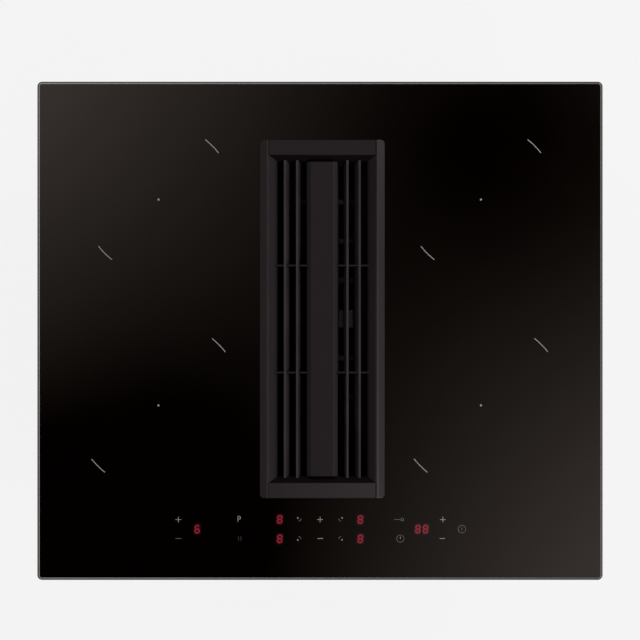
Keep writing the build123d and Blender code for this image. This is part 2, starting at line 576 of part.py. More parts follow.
with BuildPart() as filter_mesh:
    mesh_width = FILTER_FLOOR_WIDTH - 2 * LOOSE_GAP
    pleat = mesh_width / MESH_PLEATS
    pleat_rise = MESH_HEIGHT - MESH_WALL
    lower_edge = []
    for k in range(2 * MESH_PLEATS + 1):
        lower_edge.append((-mesh_width / 2 + k * pleat / 2, FILTER_FLOOR + (k % 2) * pleat_rise))
    upper_edge = [(x, z + MESH_WALL) for x, z in reversed(lower_edge)]
    with BuildSketch(VENT_SECTION):
        with BuildLine():
            Polyline(*lower_edge, *upper_edge, close=True)
        make_face()
    extrude(amount=FILTER_FLOOR_LENGTH / 2 - LOOSE_GAP, both=True)
filter_mesh.part.label = "filter_mesh"
export_step(filter_mesh.part, "parts/filter_mesh.step")

with BuildPart() as filter_grid:
    grid_width = FILTER_FLOOR_WIDTH - 2 * LOOSE_GAP
    grid_length = FILTER_FLOOR_LENGTH - 2 * LOOSE_GAP
    cell_width = (grid_width - 2 * GRID_BORDER + GRID_BAR) / GRID_COLUMNS
    cell_length = (grid_length - 2 * GRID_BORDER + GRID_BAR) / GRID_ROWS
    with BuildSketch(vent_plan(GRID_BOTTOM)):
        Rectangle(grid_width, grid_length)
        with GridLocations(cell_width, cell_length, GRID_COLUMNS, GRID_ROWS):
            Rectangle(cell_width - GRID_BAR, cell_length - GRID_BAR, mode=Mode.SUBTRACT)
    extrude(amount=GRID_THICKNESS)
filter_grid.part.label = "filter_grid"
export_step(filter_grid.part, "parts/filter_grid.step")

with BuildPart() as filter_grip:
    with BuildSketch(VENT_SECTION):
        with BuildLine():
            Polyline(
                (-GRIP_SPAN / 2 - GRIP_RISE / 2, GRID_TOP),
                (-GRIP_SPAN / 2, GRID_TOP),
                (-GRIP_SPAN / 2 + GRIP_RISE / 2, GRID_TOP + GRIP_RISE),
                (GRIP_SPAN / 2 - GRIP_RISE / 2, GRID_TOP + GRIP_RISE),
                (GRIP_SPAN / 2, GRID_TOP),
                (GRIP_SPAN / 2 + GRIP_RISE / 2, GRID_TOP),
            )
            offset(amount=GRIP_THICKNESS, side=Side.LEFT)
        make_face()
    extrude(amount=GRIP_WIDTH / 2, both=True)
filter_grip.part.label = "filter_grip"
export_step(filter_grip.part, "parts/filter_grip.step")

# ---------------------------------------------------------------- vent grille
for side_name, side in SIDES.items():
    with BuildPart() as grille_rail:
        with BuildSketch(VENT_SECTION):
            with BuildLine():
                Polyline(
                    (side * GRILLE_WIDTH / 2, GRILLE_UNDERSIDE),
                    (side * GRILLE_WIDTH / 2, GRILLE_UNDERSIDE + RAIL_EDGE_HEIGHT),
                    (side * RIDGE_OUTER_X, GRILLE_TOP),
                    (side * RIDGE_INNER_X, GRILLE_TOP),
                    (side * RIDGE_INNER_X, GRILLE_TOP - RAIL_WALL),
                    (side * (GRILLE_WIDTH / 2 - RAIL_WALL), GRILLE_UNDERSIDE),
                    close=True,
                )
            make_face()
        extrude(amount=GRILLE_END_Y, both=True)
        with BuildSketch(vent_plan(0)):
            RectangleRounded(GRILLE_WIDTH, GRILLE_LENGTH, GRILLE_CORNER_RADIUS)
        extrude(amount=2 * GRILLE_TOP, mode=Mode.INTERSECT)
    grille_rail.part.label = f"grille_rail_{side_name}"
    export_step(grille_rail.part, f"parts/grille_rail_{side_name}.step")

# the funnel slopes inside the rails, mitred where they meet those of the end bars
with BuildPart() as grille_slopes:
    slope_top_x = RIDGE_INNER_X - FIT_GAP
    slope = math.atan2(RAIL_INNER_DROP, slope_top_x - FUNNEL_X)
    foot_x = FUNNEL_X + RAIL_WALL * math.sin(slope)
    foot_z = SLOPE_FOOT - RAIL_WALL * math.cos(slope)
    with BuildSketch(VENT_SECTION):
        for side in SIDES.values():
            with BuildLine():
                Polyline(
                    (side * FUNNEL_X, SLOPE_FOOT),
                    (side * slope_top_x, GRILLE_TOP),
                    (side * slope_top_x, GRILLE_TOP - RAIL_WALL / math.cos(slope)),
                    (side * foot_x, foot_z),
                    close=True,
                )
            make_face()
    extrude(amount=GRILLE_END_Y, both=True)
    with BuildSketch(vent_plan(-2 * GRILLE_TOP)):
        for side in SIDES.values():
            with BuildLine():
                Polyline(
                    (side * RIDGE_INNER_X, SLOPE_TOP_Y),
                    (side * FUNNEL_X, FUNNEL_Y),
                    (side * FUNNEL_X, -FUNNEL_Y),
                    (side * RIDGE_INNER_X, -SLOPE_TOP_Y),
                    close=True,
                )
            make_face()
    extrude(amount=4 * GRILLE_TOP, mode=Mode.INTERSECT)
    with BuildSketch(RIB_SECTION):
        with GridLocations(RIB_SPACING, 0, 2, 1):
            Rectangle(RIB_THICKNESS + 2 * FIT_GAP, RIB_HEIGHT + 2 * FIT_GAP)
    extrude(amount=FUNNEL_X + RIB_END_IN_SLOPE + FIT_GAP, both=True, mode=Mode.SUBTRACT)
grille_slopes.part.label = "grille_slopes"
export_step(grille_slopes.part, "parts/grille_slopes.step")


def fin_profile(extra):
    """Cross-sections of the four leaning fins; extra widens them for the pockets they seat in."""
    half = FIN_THICKNESS / 2 + extra
    with BuildSketch() as profile:
        for side in SIDES.values():
            for top_x, lean in ((FIN_OUTER_X, FIN_OUTER_LEAN), (FIN_INNER_X, FIN_INNER_LEAN)):
                with BuildLine():
                    Polyline(
                        (side * top_x - half, FIN_TOP + extra),
                        (side * top_x + half, FIN_TOP + extra),
                        (side * (top_x - lean) + half, FIN_BOTTOM - extra),
                        (side * (top_x - lean) - half, FIN_BOTTOM - extra),
                        close=True,
                    )
                make_face()
    return profile.sketch


with BuildPart() as grille_fins:
    with BuildSketch(VENT_SECTION):
        add(fin_profile(0))
    extrude(amount=FUNNEL_Y + FIN_TENON, both=True)
    with BuildSketch(RIB_SECTION):
        with GridLocations(RIB_SPACING, 0, 2, 1):
            Rectangle(RIB_THICKNESS + 2 * FIT_GAP, RIB_HEIGHT + 2 * FIT_GAP)
    extrude(amount=GRILLE_WIDTH / 2, both=True, mode=Mode.SUBTRACT)
grille_fins.part.label = "grille_fins"
export_step(grille_fins.part, "parts/grille_fins.step")

for end_name, end in {"front": -1, "rear": 1}.items():
    with BuildPart() as grille_end_bar:
        bar_top = GRILLE_TOP - END_BAR_DROP
        with BuildSketch(VENT_LONG_SECTION):
            with BuildLine():
                Polyline(
                    (end * FUNNEL_Y, COMB_TOP),
                    (end * FUNNEL_Y, SLOPE_FOOT),
                    (end * SLOPE_TOP_Y, bar_top),
                    (end * GRILLE_END_Y, bar_top),
                    (end * GRILLE_END_Y, GRILLE_UNDERSIDE),
                    (end * (GRILLE_END_Y - END_WALL), GRILLE_UNDERSIDE),
                    (end * (GRILLE_END_Y - END_WALL), bar_top - END_WALL),
                    (end * (SLOPE_TOP_Y + END_WALL / 4), bar_top - END_WALL),
                    (end * (FUNNEL_Y + END_WALL), COMB_TOP),
                    close=True,
                )
            make_face()
        extrude(amount=RIDGE_INNER_X, both=True)
        with BuildSketch(vent_plan(0)):
            with BuildLine():
                Polyline(
                    (-RIDGE_INNER_X + END_SEAM, end * GRILLE_END_Y),
                    (RIDGE_INNER_X - END_SEAM, end * GRILLE_END_Y),
                    (RIDGE_INNER_X - END_SEAM, end * SLOPE_TOP_Y),
                    (FUNNEL_X - END_SEAM, end * FUNNEL_Y),
                    (-FUNNEL_X + END_SEAM, end * FUNNEL_Y),
                    (-RIDGE_INNER_X + END_SEAM, end * SLOPE_TOP_Y),
                    close=True,
                )
            make_face()
        extrude(amount=2 * GRILLE_TOP, mode=Mode.INTERSECT)
        with BuildSketch(VENT_SECTION):
            add(fin_profile(FIT_GAP))
        extrude(amount=FUNNEL_Y + FIN_TENON + FIT_GAP, both=True, mode=Mode.SUBTRACT)
    grille_end_bar.part.label = f"grille_end_bar_{end_name}"
    export_step(grille_end_bar.part, f"parts/grille_end_bar_{end_name}.step")

# upright plates below the end bars, slotted for the ends of the fins
with BuildPart() as grille_fin_combs:
    with BuildSketch(vent_plan(FIN_BOTTOM - LOOSE_GAP)):
        with GridLocations(0, 2 * FUNNEL_Y + END_WALL, 1, 2):
            Rectangle(2 * (FUNNEL_X - END_SEAM), END_WALL)
    extrude(amount=COMB_TOP - FIN_BOTTOM + LOOSE_GAP)
    with BuildSketch(VENT_SECTION):
        add(fin_profile(FIT_GAP))
    extrude(amount=FUNNEL_Y + FIN_TENON + FIT_GAP, both=True, mode=Mode.SUBTRACT)
grille_fin_combs.part.label = "grille_fin_combs"
export_step(grille_fin_combs.part, "parts/grille_fin_combs.step")

with BuildPart() as grille_center_bar:
    flat_x = CENTER_BAR_WIDTH / 2
    side_x = flat_x + CENTER_BAR_SLOPE_WIDTH
    bar_top = GRILLE_TOP - CENTER_BAR_TOP_DROP
    bar_bottom = bar_top - CENTER_BAR_HEIGHT
    with BuildSketch(VENT_SECTION):
        with BuildLine():
            Polyline(
                (side_x, bar_bottom),
                (side_x, bar_top - CENTER_BAR_SLOPE_DROP),
                (flat_x, bar_top),
                (-flat_x, bar_top),
                (-side_x, bar_top - CENTER_BAR_SLOPE_DROP),
                (-side_x, bar_bottom),
                (-side_x + CENTER_BAR_WALL, bar_bottom),
                (-side_x + CENTER_BAR_WALL, bar_top - CENTER_BAR_SLOPE_DROP - CENTER_BAR_INNER_STEP),
                (-flat_x + CENTER_BAR_INNER_STEP, bar_top - CENTER_BAR_WALL),
                (flat_x - CENTER_BAR_INNER_STEP, bar_top - CENTER_BAR_WALL),
                (side_x - CENTER_BAR_WALL, bar_top - CENTER_BAR_SLOPE_DROP - CENTER_BAR_INNER_STEP),
                (side_x - CENTER_BAR_WALL, bar_bottom),
                close=True,
            )
        make_face()
    extrude(amount=FUNNEL_Y, both=True)
    with BuildSketch(RIB_SECTION):
        with GridLocations(RIB_SPACING, 0, 2, 1):
            Rectangle(RIB_THICKNESS + 2 * FIT_GAP, RIB_HEIGHT + 2 * FIT_GAP)
    extrude(amount=GRILLE_WIDTH / 2, both=True, mode=Mode.SUBTRACT)
grille_center_bar.part.label = "grille_center_bar"
export_step(grille_center_bar.part, "parts/grille_center_bar.step")

with BuildPart() as grille_cross_ribs:
    with BuildSketch(RIB_SECTION):
        with GridLocations(RIB_SPACING, 0, 2, 1):
            Rectangle(RIB_THICKNESS, RIB_HEIGHT)
    extrude(amount=FUNNEL_X + RIB_END_IN_SLOPE, both=True)
grille_cross_ribs.part.label = "grille_cross_ribs"
export_step(grille_cross_ribs.part, "parts/grille_cross_ribs.step")

# rubber feet between the end walls and the edge of the glass opening
with BuildPart() as grille_pads:
    pad_width = APERTURE_COVER_END - END_WALL - 2 * FIT_GAP
    pad_y = GRILLE_END_Y - END_WALL - FIT_GAP - pad_width / 2
    with BuildSketch(vent_plan(GLASS_TOP)):
        with GridLocations(PAD_SPACING, 2 * pad_y, 2, 2):
            Rectangle(PAD_LENGTH, pad_width)
    extrude(amount=GRILLE_TOP - END_BAR_DROP - END_WALL - GLASS_TOP)
grille_pads.part.label = "grille_pads"
export_step(grille_pads.part, "parts/grille_pads.step")

# ---------------------------------------------------------------- induction coils and their carriers
for zone_name, (zone_x, zone_y, zone_radius) in ZONES.items():
    coil_radius = zone_radius - COIL_MARGIN
    with BuildPart() as coil_winding:
        with BuildSketch(Plane.XY.offset(COIL_BOTTOM)):
            with Locations((zone_x, zone_y)):
                RegularPolygon(coil_radius, COIL_SIDES)
                RegularPolygon(COIL_BORE_RADIUS, COIL_SIDES, mode=Mode.SUBTRACT)
        extrude(amount=COIL_THICKNESS)
    coil_winding.part.label = f"coil_winding_{zone_name}"
    export_step(coil_winding.part, f"parts/coil_winding_{zone_name}.step")

    # spider with one arm over each ferrite bar
    with BuildPart() as coil_former:
        with BuildSketch(Plane.XY.offset(FORMER_BOTTOM)):
            with Locations((zone_x, zone_y)):
                with PolarLocations(0, FERRITES_PER_COIL // 2):
                    Rectangle(2 * (coil_radius + FORMER_ARM_OVERHANG), FORMER_ARM_WIDTH)
                RegularPolygon(COIL_BORE_RADIUS, COIL_SIDES)
                Rectangle(SENSOR_SIZE + 2 * EASY_GAP, SENSOR_SIZE + 2 * EASY_GAP, mode=Mode.SUBTRACT)
        extrude(amount=FORMER_THICKNESS)
    coil_former.part.label = f"coil_former_{zone_name}"
    export_step(coil_former.part, f"parts/coil_former_{zone_name}.step")

with BuildPart() as coil_ferrites:
    with BuildSketch(Plane.XY.offset(CARRIER_TOP)):
        for zone_x, zone_y, zone_radius in ZONES.values():
            ferrite_radius = zone_radius - COIL_MARGIN - FERRITE_LENGTH / 2
            with Locations((zone_x, zone_y)):
                with PolarLocations(ferrite_radius, FERRITES_PER_COIL):
                    Rectangle(FERRITE_LENGTH, FERRITE_WIDTH)
    extrude(amount=FERRITE_THICKNESS)
coil_ferrites.part.label = "coil_ferrites"
export_step(coil_ferrites.part, "parts/coil_ferrites.step")

with BuildPart() as zone_sensors:
    with BuildSketch(Plane.XY.offset(FORMER_BOTTOM)):
        for zone_x, zone_y, zone_radius in ZONES.values():
            with Locations((zone_x, zone_y)):
                Rectangle(SENSOR_SIZE, SENSOR_SIZE)
    extrude(amount=GLASS_BOTTOM - FORMER_BOTTOM)
zone_sensors.part.label = "zone_sensors"
export_step(zone_sensors.part, "parts/zone_sensors.step")

for side_name, side in SIDES.items():
    with BuildPart() as coil_carrier:
        carrier_z = (CARRIER_TOP + TRAY_FLOOR) / 2
        with BuildSketch(Plane.XZ.offset(-CARRIER_REAR_Y)):
            with Locations((side * CARRIER_X, carrier_z)):
                Rectangle(CARRIER_WIDTH, CARRIER_TOP - TRAY_FLOOR)
            with Locations((side * CARRIER_X, carrier_z - CARRIER_SHEET)):
                Rectangle(CARRIER_WIDTH - 2 * CARRIER_SHEET, CARRIER_TOP - TRAY_FLOOR, mode=Mode.SUBTRACT)
        extrude(amount=CARRIER_REAR_Y - CARRIER_FRONT_Y)
        with BuildSketch(Plane.XY.offset(CARRIER_TOP - CARRIER_SHEET)):
            with Locations((side * ZONE_X, REAR_ZONE_Y), (side * ZONE_X, FRONT_ZONE_Y)):
                Rectangle(COIL_BORE_RADIUS, COIL_BORE_RADIUS)
        extrude(amount=CARRIER_SHEET, mode=Mode.SUBTRACT)
    coil_carrier.part.label = f"coil_carrier_{side_name}"
    export_step(coil_carrier.part, f"parts/coil_carrier_{side_name}.step")

# ---------------------------------------------------------------- generator boards, heat sinks and fans
for side_name, side in SIDES.items():
    sink_x = side * FAN_X
    with BuildPart() as power_board:
        with BuildSketch(Plane.XY.offset(BOARD_BOTTOM)):
            with Locations((side * CARRIER_X, BOARD_Y)):
                Rectangle(BOARD_WIDTH, BOARD_LENGTH)
        extrude(amount=BOARD_THICKNESS)
        with BuildSketch(Plane.XY.offset(BOARD_TOP)):
            with Locations((side * CHOKE_X, BOARD_Y + CHOKE_PITCH)):
                with GridLocations(0, CHOKE_PITCH, 1, 2):
                    Rectangle(CHOKE_WIDTH, CHOKE_LENGTH)
            with Locations((side * CHOKE_X, BOARD_Y - CHOKE_PITCH)):
                with GridLocations(0, CHOKE_PITCH, 1, 2):
                    Rectangle(FILTER_BLOCK_SIZE, FILTER_BLOCK_SIZE)
        extrude(amount=COMPONENT_HEIGHT)
    power_board.part.label = f"power_board_{side_name}"
    export_step(power_board.part, f"parts/power_board_{side_name}.step")

    with BuildPart() as heat_sink:
        fin_pitch = (SINK_WIDTH - SINK_FIN_THICKNESS) / (SINK_FINS - 1)
        with BuildSketch(Plane.XZ.offset(-BOARD_Y)):
            with Locations((sink_x, BOARD_TOP + SINK_BASE / 2)):
                Rectangle(SINK_WIDTH, SINK_BASE)
            with Locations((sink_x, BOARD_TOP + SINK_HEIGHT / 2)):
                with GridLocations(fin_pitch, 0, SINK_FINS, 1):
                    Rectangle(SINK_FIN_THICKNESS, SINK_HEIGHT)
        extrude(amount=SINK_LENGTH / 2, both=True)
    heat_sink.part.label = f"heat_sink_{side_name}"
    export_step(heat_sink.part, f"parts/heat_sink_{side_name}.step")

    fan_plan = Plane(origin=(sink_x, FAN_Y, TRAY_FLOOR), x_dir=(1, 0, 0), z_dir=(0, 0, 1))
    with BuildPart() as fan_housing:
        with BuildSketch(fan_plan):
            Rectangle(FAN_SIZE, FAN_SIZE)
        extrude(amount=FAN_HEIGHT)
        # chamber open to the heat sink at the front, and the inlet through the floor with a bridge for the axle
        with BuildSketch(fan_plan.offset(FAN_WALL)):
            add(cut_cornered(FAN_SIZE - 2 * FAN_WALL, FAN_SIZE - 2 * FAN_WALL, FAN_CHAMBER_CUT))
            with Locations((0, -FAN_SIZE / 4)):
                Rectangle(SINK_WIDTH, FAN_SIZE / 2)
        extrude(amount=FAN_HEIGHT - 2 * FAN_WALL, mode=Mode.SUBTRACT)
        with BuildSketch(fan_plan):
            RegularPolygon(FAN_ROTOR_RADIUS - FAN_WALL, FAN_BLADES)
            Rectangle(2 * FAN_ROTOR_RADIUS, FAN_BRIDGE_WIDTH, mode=Mode.SUBTRACT)
        extrude(amount=FAN_WALL, mode=Mode.SUBTRACT)
        with BuildSketch(fan_plan):
            Circle(FAN_AXLE_RADIUS)
        extrude(amount=FAN_HEIGHT / 2)
    fan_housing.part.label = f"cooling_fan_housing_{side_name}"
    export_step(fan_housing.part, f"parts/cooling_fan_housing_{side_name}.step")

    with BuildPart() as fan_rotor:
        with BuildSketch(fan_plan.offset(2 * FAN_WALL)):
            with PolarLocations(FAN_ROTOR_RADIUS / 2, FAN_BLADES):
                Rectangle(FAN_ROTOR_RADIUS, FAN_BLADE_THICKNESS)
            RegularPolygon(FAN_HUB_RADIUS, FAN_BLADES)
            Circle(FAN_AXLE_RADIUS + SHAFT_RUNNING_GAP, mode=Mode.SUBTRACT)
        extrude(amount=FAN_HEIGHT - 4 * FAN_WALL)
    fan_rotor.part.label = f"cooling_fan_rotor_{side_name}"
    export_step(fan_rotor.part, f"parts/cooling_fan_rotor_{side_name}.step")

# ---------------------------------------------------------------- touch controls
with BuildPart() as touch_holder:
    with BuildSketch(Plane.XY.offset(HOLDER_BOTTOM)):
        with Locations((0, TOUCH_Y)):
            Rectangle(TOUCH_LENGTH, TOUCH_WIDTH)
    extrude(amount=TOUCH_DEPTH)
    with BuildSketch(Plane.XY.offset(HOLDER_BOTTOM + TOUCH_WALL)):
        with Locations((0, TOUCH_Y)):
            Rectangle(TOUCH_LENGTH - 2 * TOUCH_WALL, TOUCH_WIDTH - 2 * TOUCH_WALL)
    extrude(amount=TOUCH_DEPTH, mode=Mode.SUBTRACT)
    with BuildSketch(Plane.XY.offset(TRAY_FLOOR)):
        with Locations((0, TOUCH_Y)):
            with GridLocations((TOUCH_LENGTH - TOUCH_LEG) / (TOUCH_LEGS - 1), 0, TOUCH_LEGS, 1):
                Rectangle(TOUCH_LEG, TOUCH_WIDTH)
    extrude(amount=HOLDER_BOTTOM - TRAY_FLOOR)
touch_holder.part.label = "touch_holder"
export_step(touch_holder.part, "parts/touch_holder.step")

with BuildPart() as touch_board:
    with BuildSketch(Plane.XY.offset(HOLDER_TOP - BOARD_THICKNESS)):
        with Locations((0, TOUCH_Y)):
            Rectangle(
                TOUCH_LENGTH - 2 * TOUCH_WALL - 2 * EASY_GAP, TOUCH_WIDTH - 2 * TOUCH_WALL - 2 * EASY_GAP
            )
    extrude(amount=BOARD_THICKNESS)
touch_board.part.label = "touch_board"
export_step(touch_board.part, "parts/touch_board.step")

with BuildPart() as number_displays:
    with BuildSketch(Plane.XY.offset(HOLDER_TOP)):
        with Locations((SINGLE_DIGIT_X, TOUCH_Y)):
            Rectangle(DIGIT_WIDTH, DIGIT_LENGTH)
        with Locations((0, TOUCH_Y)):
            with GridLocations(2 * ZONE_DIGIT_X, 2 * DIGIT_ROW_OFFSET, 2, 2):
                Rectangle(DIGIT_WIDTH, DIGIT_LENGTH)
        with Locations((TIMER_DIGITS_X, TOUCH_Y)):
            Rectangle(TIMER_DISPLAY_WIDTH, DIGIT_LENGTH)
    extrude(amount=DISPLAY_THICKNESS)
number_displays.part.label = "number_displays"
export_step(number_displays.part, "parts/number_displays.step")

# ---------------------------------------------------------------- mains inlet
with BuildPart() as terminal_block:
    terminal_y = TRAY_WIDTH / 2 - TERMINAL_FROM_REAR
    with BuildSketch(Plane.XY.offset(TRAY_FLOOR)):
        with Locations((CABLE_X, terminal_y)):
            Rectangle(TERMINAL_LENGTH, TERMINAL_WIDTH)
    extrude(amount=TERMINAL_HEIGHT)
    with BuildSketch(Plane.XY.offset(TRAY_FLOOR + TERMINAL_FLOOR)):
        with Locations((CABLE_X, terminal_y)):
            with GridLocations(TERMINAL_PITCH, 0, TERMINAL_WAYS, 1):
                Rectangle(TERMINAL_WAY_LENGTH, TERMINAL_WAY_WIDTH)
    extrude(amount=TERMINAL_HEIGHT, mode=Mode.SUBTRACT)
terminal_block.part.label = "terminal_block"
export_step(terminal_block.part, "parts/terminal_block.step")

with BuildPart() as cable_gland:
    gland_plane = Plane(
        origin=(CABLE_X, TRAY_WIDTH / 2, TRAY_BOTTOM + TRAY_DEPTH / 2), x_dir=(1, 0, 0), z_dir=(0, 1, 0)
    )
    with BuildSketch(gland_plane.offset(-GLAND_LENGTH / 2)):
        RegularPolygon(GLAND_NECK_RADIUS, GLAND_SIDES)
    extrude(amount=GLAND_LENGTH / 2)
    with BuildSketch(gland_plane):
        RegularPolygon(GLAND_HEX_RADIUS, 6)
    extrude(amount=GLAND_LENGTH / 2)
    with BuildSketch(gland_plane.offset(-GLAND_LENGTH / 2)):
        Circle(CABLE_BORE_RADIUS)
    extrude(amount=GLAND_LENGTH, mode=Mode.SUBTRACT)
cable_gland.part.label = "cable_gland"
export_step(cable_gland.part, "parts/cable_gland.step")

# ---------------------------------------------------------------- suction box
plenum_plan = Plane(origin=(VENT_X, PLENUM_Y, PLENUM_BOTTOM), x_dir=(1, 0, 0), z_dir=(0, 0, 1))
drain_plan = Plane(origin=(VENT_X, DRAIN_Y, PLENUM_BOTTOM), x_dir=(1, 0, 0), z_dir=(0, 0, -1))

with BuildPart() as suction_box:
    with BuildSketch(plenum_plan):
        add(cut_cornered(PLENUM_WIDTH, PLENUM_LENGTH, PLENUM_CORNER_CUT))
    extrude(amount=PLENUM_DEPTH)
    with BuildSketch(plenum_plan.offset(PLENUM_DEPTH - PLENUM_WALL)):
        flange_width = PLENUM_WIDTH + 2 * PLENUM_FLANGE
        flange_length = PLENUM_LENGTH + 2 * PLENUM_FLANGE
        add(cut_cornered(flange_width, flange_length, PLENUM_CORNER_CUT))
    extrude(amount=PLENUM_WALL)
    with BuildSketch(drain_plan):
        Rectangle(DRAIN_LENGTH + 2 * PLENUM_WALL, DRAIN_WIDTH + 2 * PLENUM_WALL)
    extrude(amount=DRAIN_DEPTH, taper=DRAIN_TAPER)
    with BuildSketch(plenum_plan.offset(PLENUM_WALL)):
        inner_width = PLENUM_WIDTH - 2 * PLENUM_WALL
        inner_length = PLENUM_LENGTH - 2 * PLENUM_WALL
        add(cut_cornered(inner_width, inner_length, PLENUM_CORNER_CUT - PLENUM_WALL / 2))
    extrude(amount=PLENUM_DEPTH, mode=Mode.SUBTRACT)
    # the funnel of the drain, and the openings through the floor to it and to the blower
    with BuildSketch(drain_plan):
        Rectangle(DRAIN_LENGTH, DRAIN_WIDTH)
    extrude(amount=DRAIN_DEPTH, taper=DRAIN_TAPER, mode=Mode.SUBTRACT)
    with BuildSketch(plenum_plan):
        with Locations((0, DRAIN_Y - PLENUM_Y)):
            Rectangle(DRAIN_LENGTH, DRAIN_WIDTH)
        with Locations((0, BLOWER_Y - PLENUM_Y)):
            RegularPolygon(INLET_HOLE_RADIUS, NOZZLE_SIDES, major_radius=False)
    extrude(amount=PLENUM_WALL, mode=Mode.SUBTRACT)
suction_box.part.label = "suction_box"
export_step(suction_box.part, "parts/suction_box.step")

# ---------------------------------------------------------------- overflow tank and its rails
with BuildPart() as overflow_tank:
    tank_rim = Plane(origin=(VENT_X, TANK_Y, TANK_TOP), x_dir=(1, 0, 0), z_dir=(0, 0, -1))
    mouth_length = TANK_LENGTH - 2 * TANK_WALL
    mouth_width = TANK_WIDTH - 2 * TANK_WALL
    with BuildSketch(tank_rim):
        add(cut_cornered(TANK_LENGTH, TANK_WIDTH, TANK_CORNER_CUT))
    extrude(amount=TANK_HEIGHT, taper=TANK_DRAFT)
    with BuildSketch(tank_rim):
        add(cut_cornered(TANK_LENGTH + 2 * TANK_FLANGE, TANK_WIDTH, TANK_CORNER_CUT))
    extrude(amount=TANK_WALL)
    # pull lip at the front, hollow from below
    with BuildSketch(tank_rim):
        with Locations((0, TANK_WIDTH / 2 + TANK_FLANGE / 2)):
            Rectangle(TANK_LENGTH / 2, TANK_FLANGE + TANK_WALL)
    extrude(amount=TANK_LIP_DEPTH)
    with BuildSketch(tank_rim):
        add(cut_cornered(mouth_length, mouth_width, TANK_CORNER_CUT - TANK_WALL / 2))
    extrude(amount=TANK_HEIGHT - TANK_WALL, taper=TANK_DRAFT, mode=Mode.SUBTRACT)
    with BuildSketch(tank_rim.offset(TANK_WALL)):
        with Locations((0, TANK_WIDTH / 2 + TANK_FLANGE / 2)):
            Rectangle(TANK_LENGTH / 2 - 2 * TANK_WALL, TANK_FLANGE - TANK_WALL)
    extrude(amount=TANK_LIP_DEPTH, mode=Mode.SUBTRACT)
overflow_tank.part.label = "overflow_tank"
export_step(overflow_tank.part, "parts/overflow_tank.step")

with BuildPart() as tank_rails:
    web_x = TANK_LENGTH / 2 + TANK_FLANGE + SLIDE_GAP
    foot_top = TANK_TOP - TANK_WALL - SLIDE_GAP
    for side in SIDES.values():
        with BuildSketch(Plane.XZ.offset(-TANK_REAR_Y)):
            with BuildLine():
                Polyline(
                    (VENT_X + side * web_x, PLENUM_BOTTOM),
                    (VENT_X + side * (web_x + RAIL_SHEET), PLENUM_BOTTOM),
                    (VENT_X + side * (web_x + RAIL_SHEET), foot_top - RAIL_SHEET),
                    (VENT_X + side * (web_x - TANK_FLANGE / 2), foot_top - RAIL_SHEET),
                    (VENT_X + side * (web_x - TANK_FLANGE / 2), foot_top),
                    (VENT_X + side * web_x, foot_top),
                    close=True,
                )
            make_face()
        extrude(amount=TANK_REAR_Y - PLENUM_FRONT_Y)
tank_rails.part.label = "tank_rails"
export_step(tank_rails.part, "parts/tank_rails.step")


# ---------------------------------------------------------------- blower
def scroll_outline(tongue_x, extra):
    """Spiral of four growing quarter arcs round the wheel, running out straight to the rear outlet."""
    half = SCROLL_STEP / 2
    first = SCROLL_START_RADIUS + extra
    second = first + SCROLL_STEP
    third = second + SCROLL_STEP
    tongue_angle = math.degrees(math.acos((tongue_x + half) / first))
    outer_x = THROAT_OUTER_X + extra
    with BuildSketch() as outline:
        with BuildLine():
            rear = CenterArc((-half, -half), first, tongue_angle, 180 - tongue_angle)
            CenterArc((half, -half), second, 180, 90)
            front = CenterArc((half, half), third, 270, 90)
            Polyline(front @ 1, (outer_x, SCROLL_OUTLET_Y), (tongue_x, SCROLL_OUTLET_Y), rear @ 0)
        make_face()
    return outline.sketch


def nozzle_plan(radius):
    """Many-sided plan of the inlet nozzle, with flats that touch the circle of this radius."""
    with BuildSketch() as outline:
        RegularPolygon(radius, NOZZLE_SIDES, major_radius=False)
    return outline.sketch


with BuildPart() as scroll_housing:
    with BuildSketch(blower_plan(SCROLL_FLOOR)):
        add(scroll_outline(THROAT_INNER_X - SCROLL_WALL, SCROLL_WALL))
    extrude(amount=SCROLL_TOP - SCROLL_FLOOR)
    with BuildSketch(blower_plan(SCROLL_FLOOR)) as airway:
        add(scroll_outline(THROAT_INNER_X, 0))
        tongue = airway.vertices().sort_by_distance((0, 0, 0))[0]
        fillet(tongue, TONGUE_RADIUS)
    extrude(amount=THROAT_HEIGHT, mode=Mode.SUBTRACT)
    with BuildSketch(blower_plan(SCROLL_CEILING)):
        RegularPolygon(INLET_HOLE_RADIUS, NOZZLE_SIDES, major_radius=False)
    extrude(amount=SCROLL_WALL, mode=Mode.SUBTRACT)
scroll_housing.part.label = "scroll_housing"
export_step(scroll_housing.part, "parts/scroll_housing.step")

with BuildPart() as scroll_floor:
    with BuildSketch(blower_plan(SCROLL_BOTTOM)):
        add(scroll_outline(THROAT_INNER_X - SCROLL_WALL, SCROLL_WALL))
    extrude(amount=SCROLL_WALL)
scroll_floor.part.label = "scroll_floor"
export_step(scroll_floor.part, "parts/scroll_floor.step")

nozzle_mouth = Plane(origin=(VENT_X, BLOWER_Y, PLENUM_FLOOR), x_dir=(1, 0, 0), z_dir=(0, 0, -1))

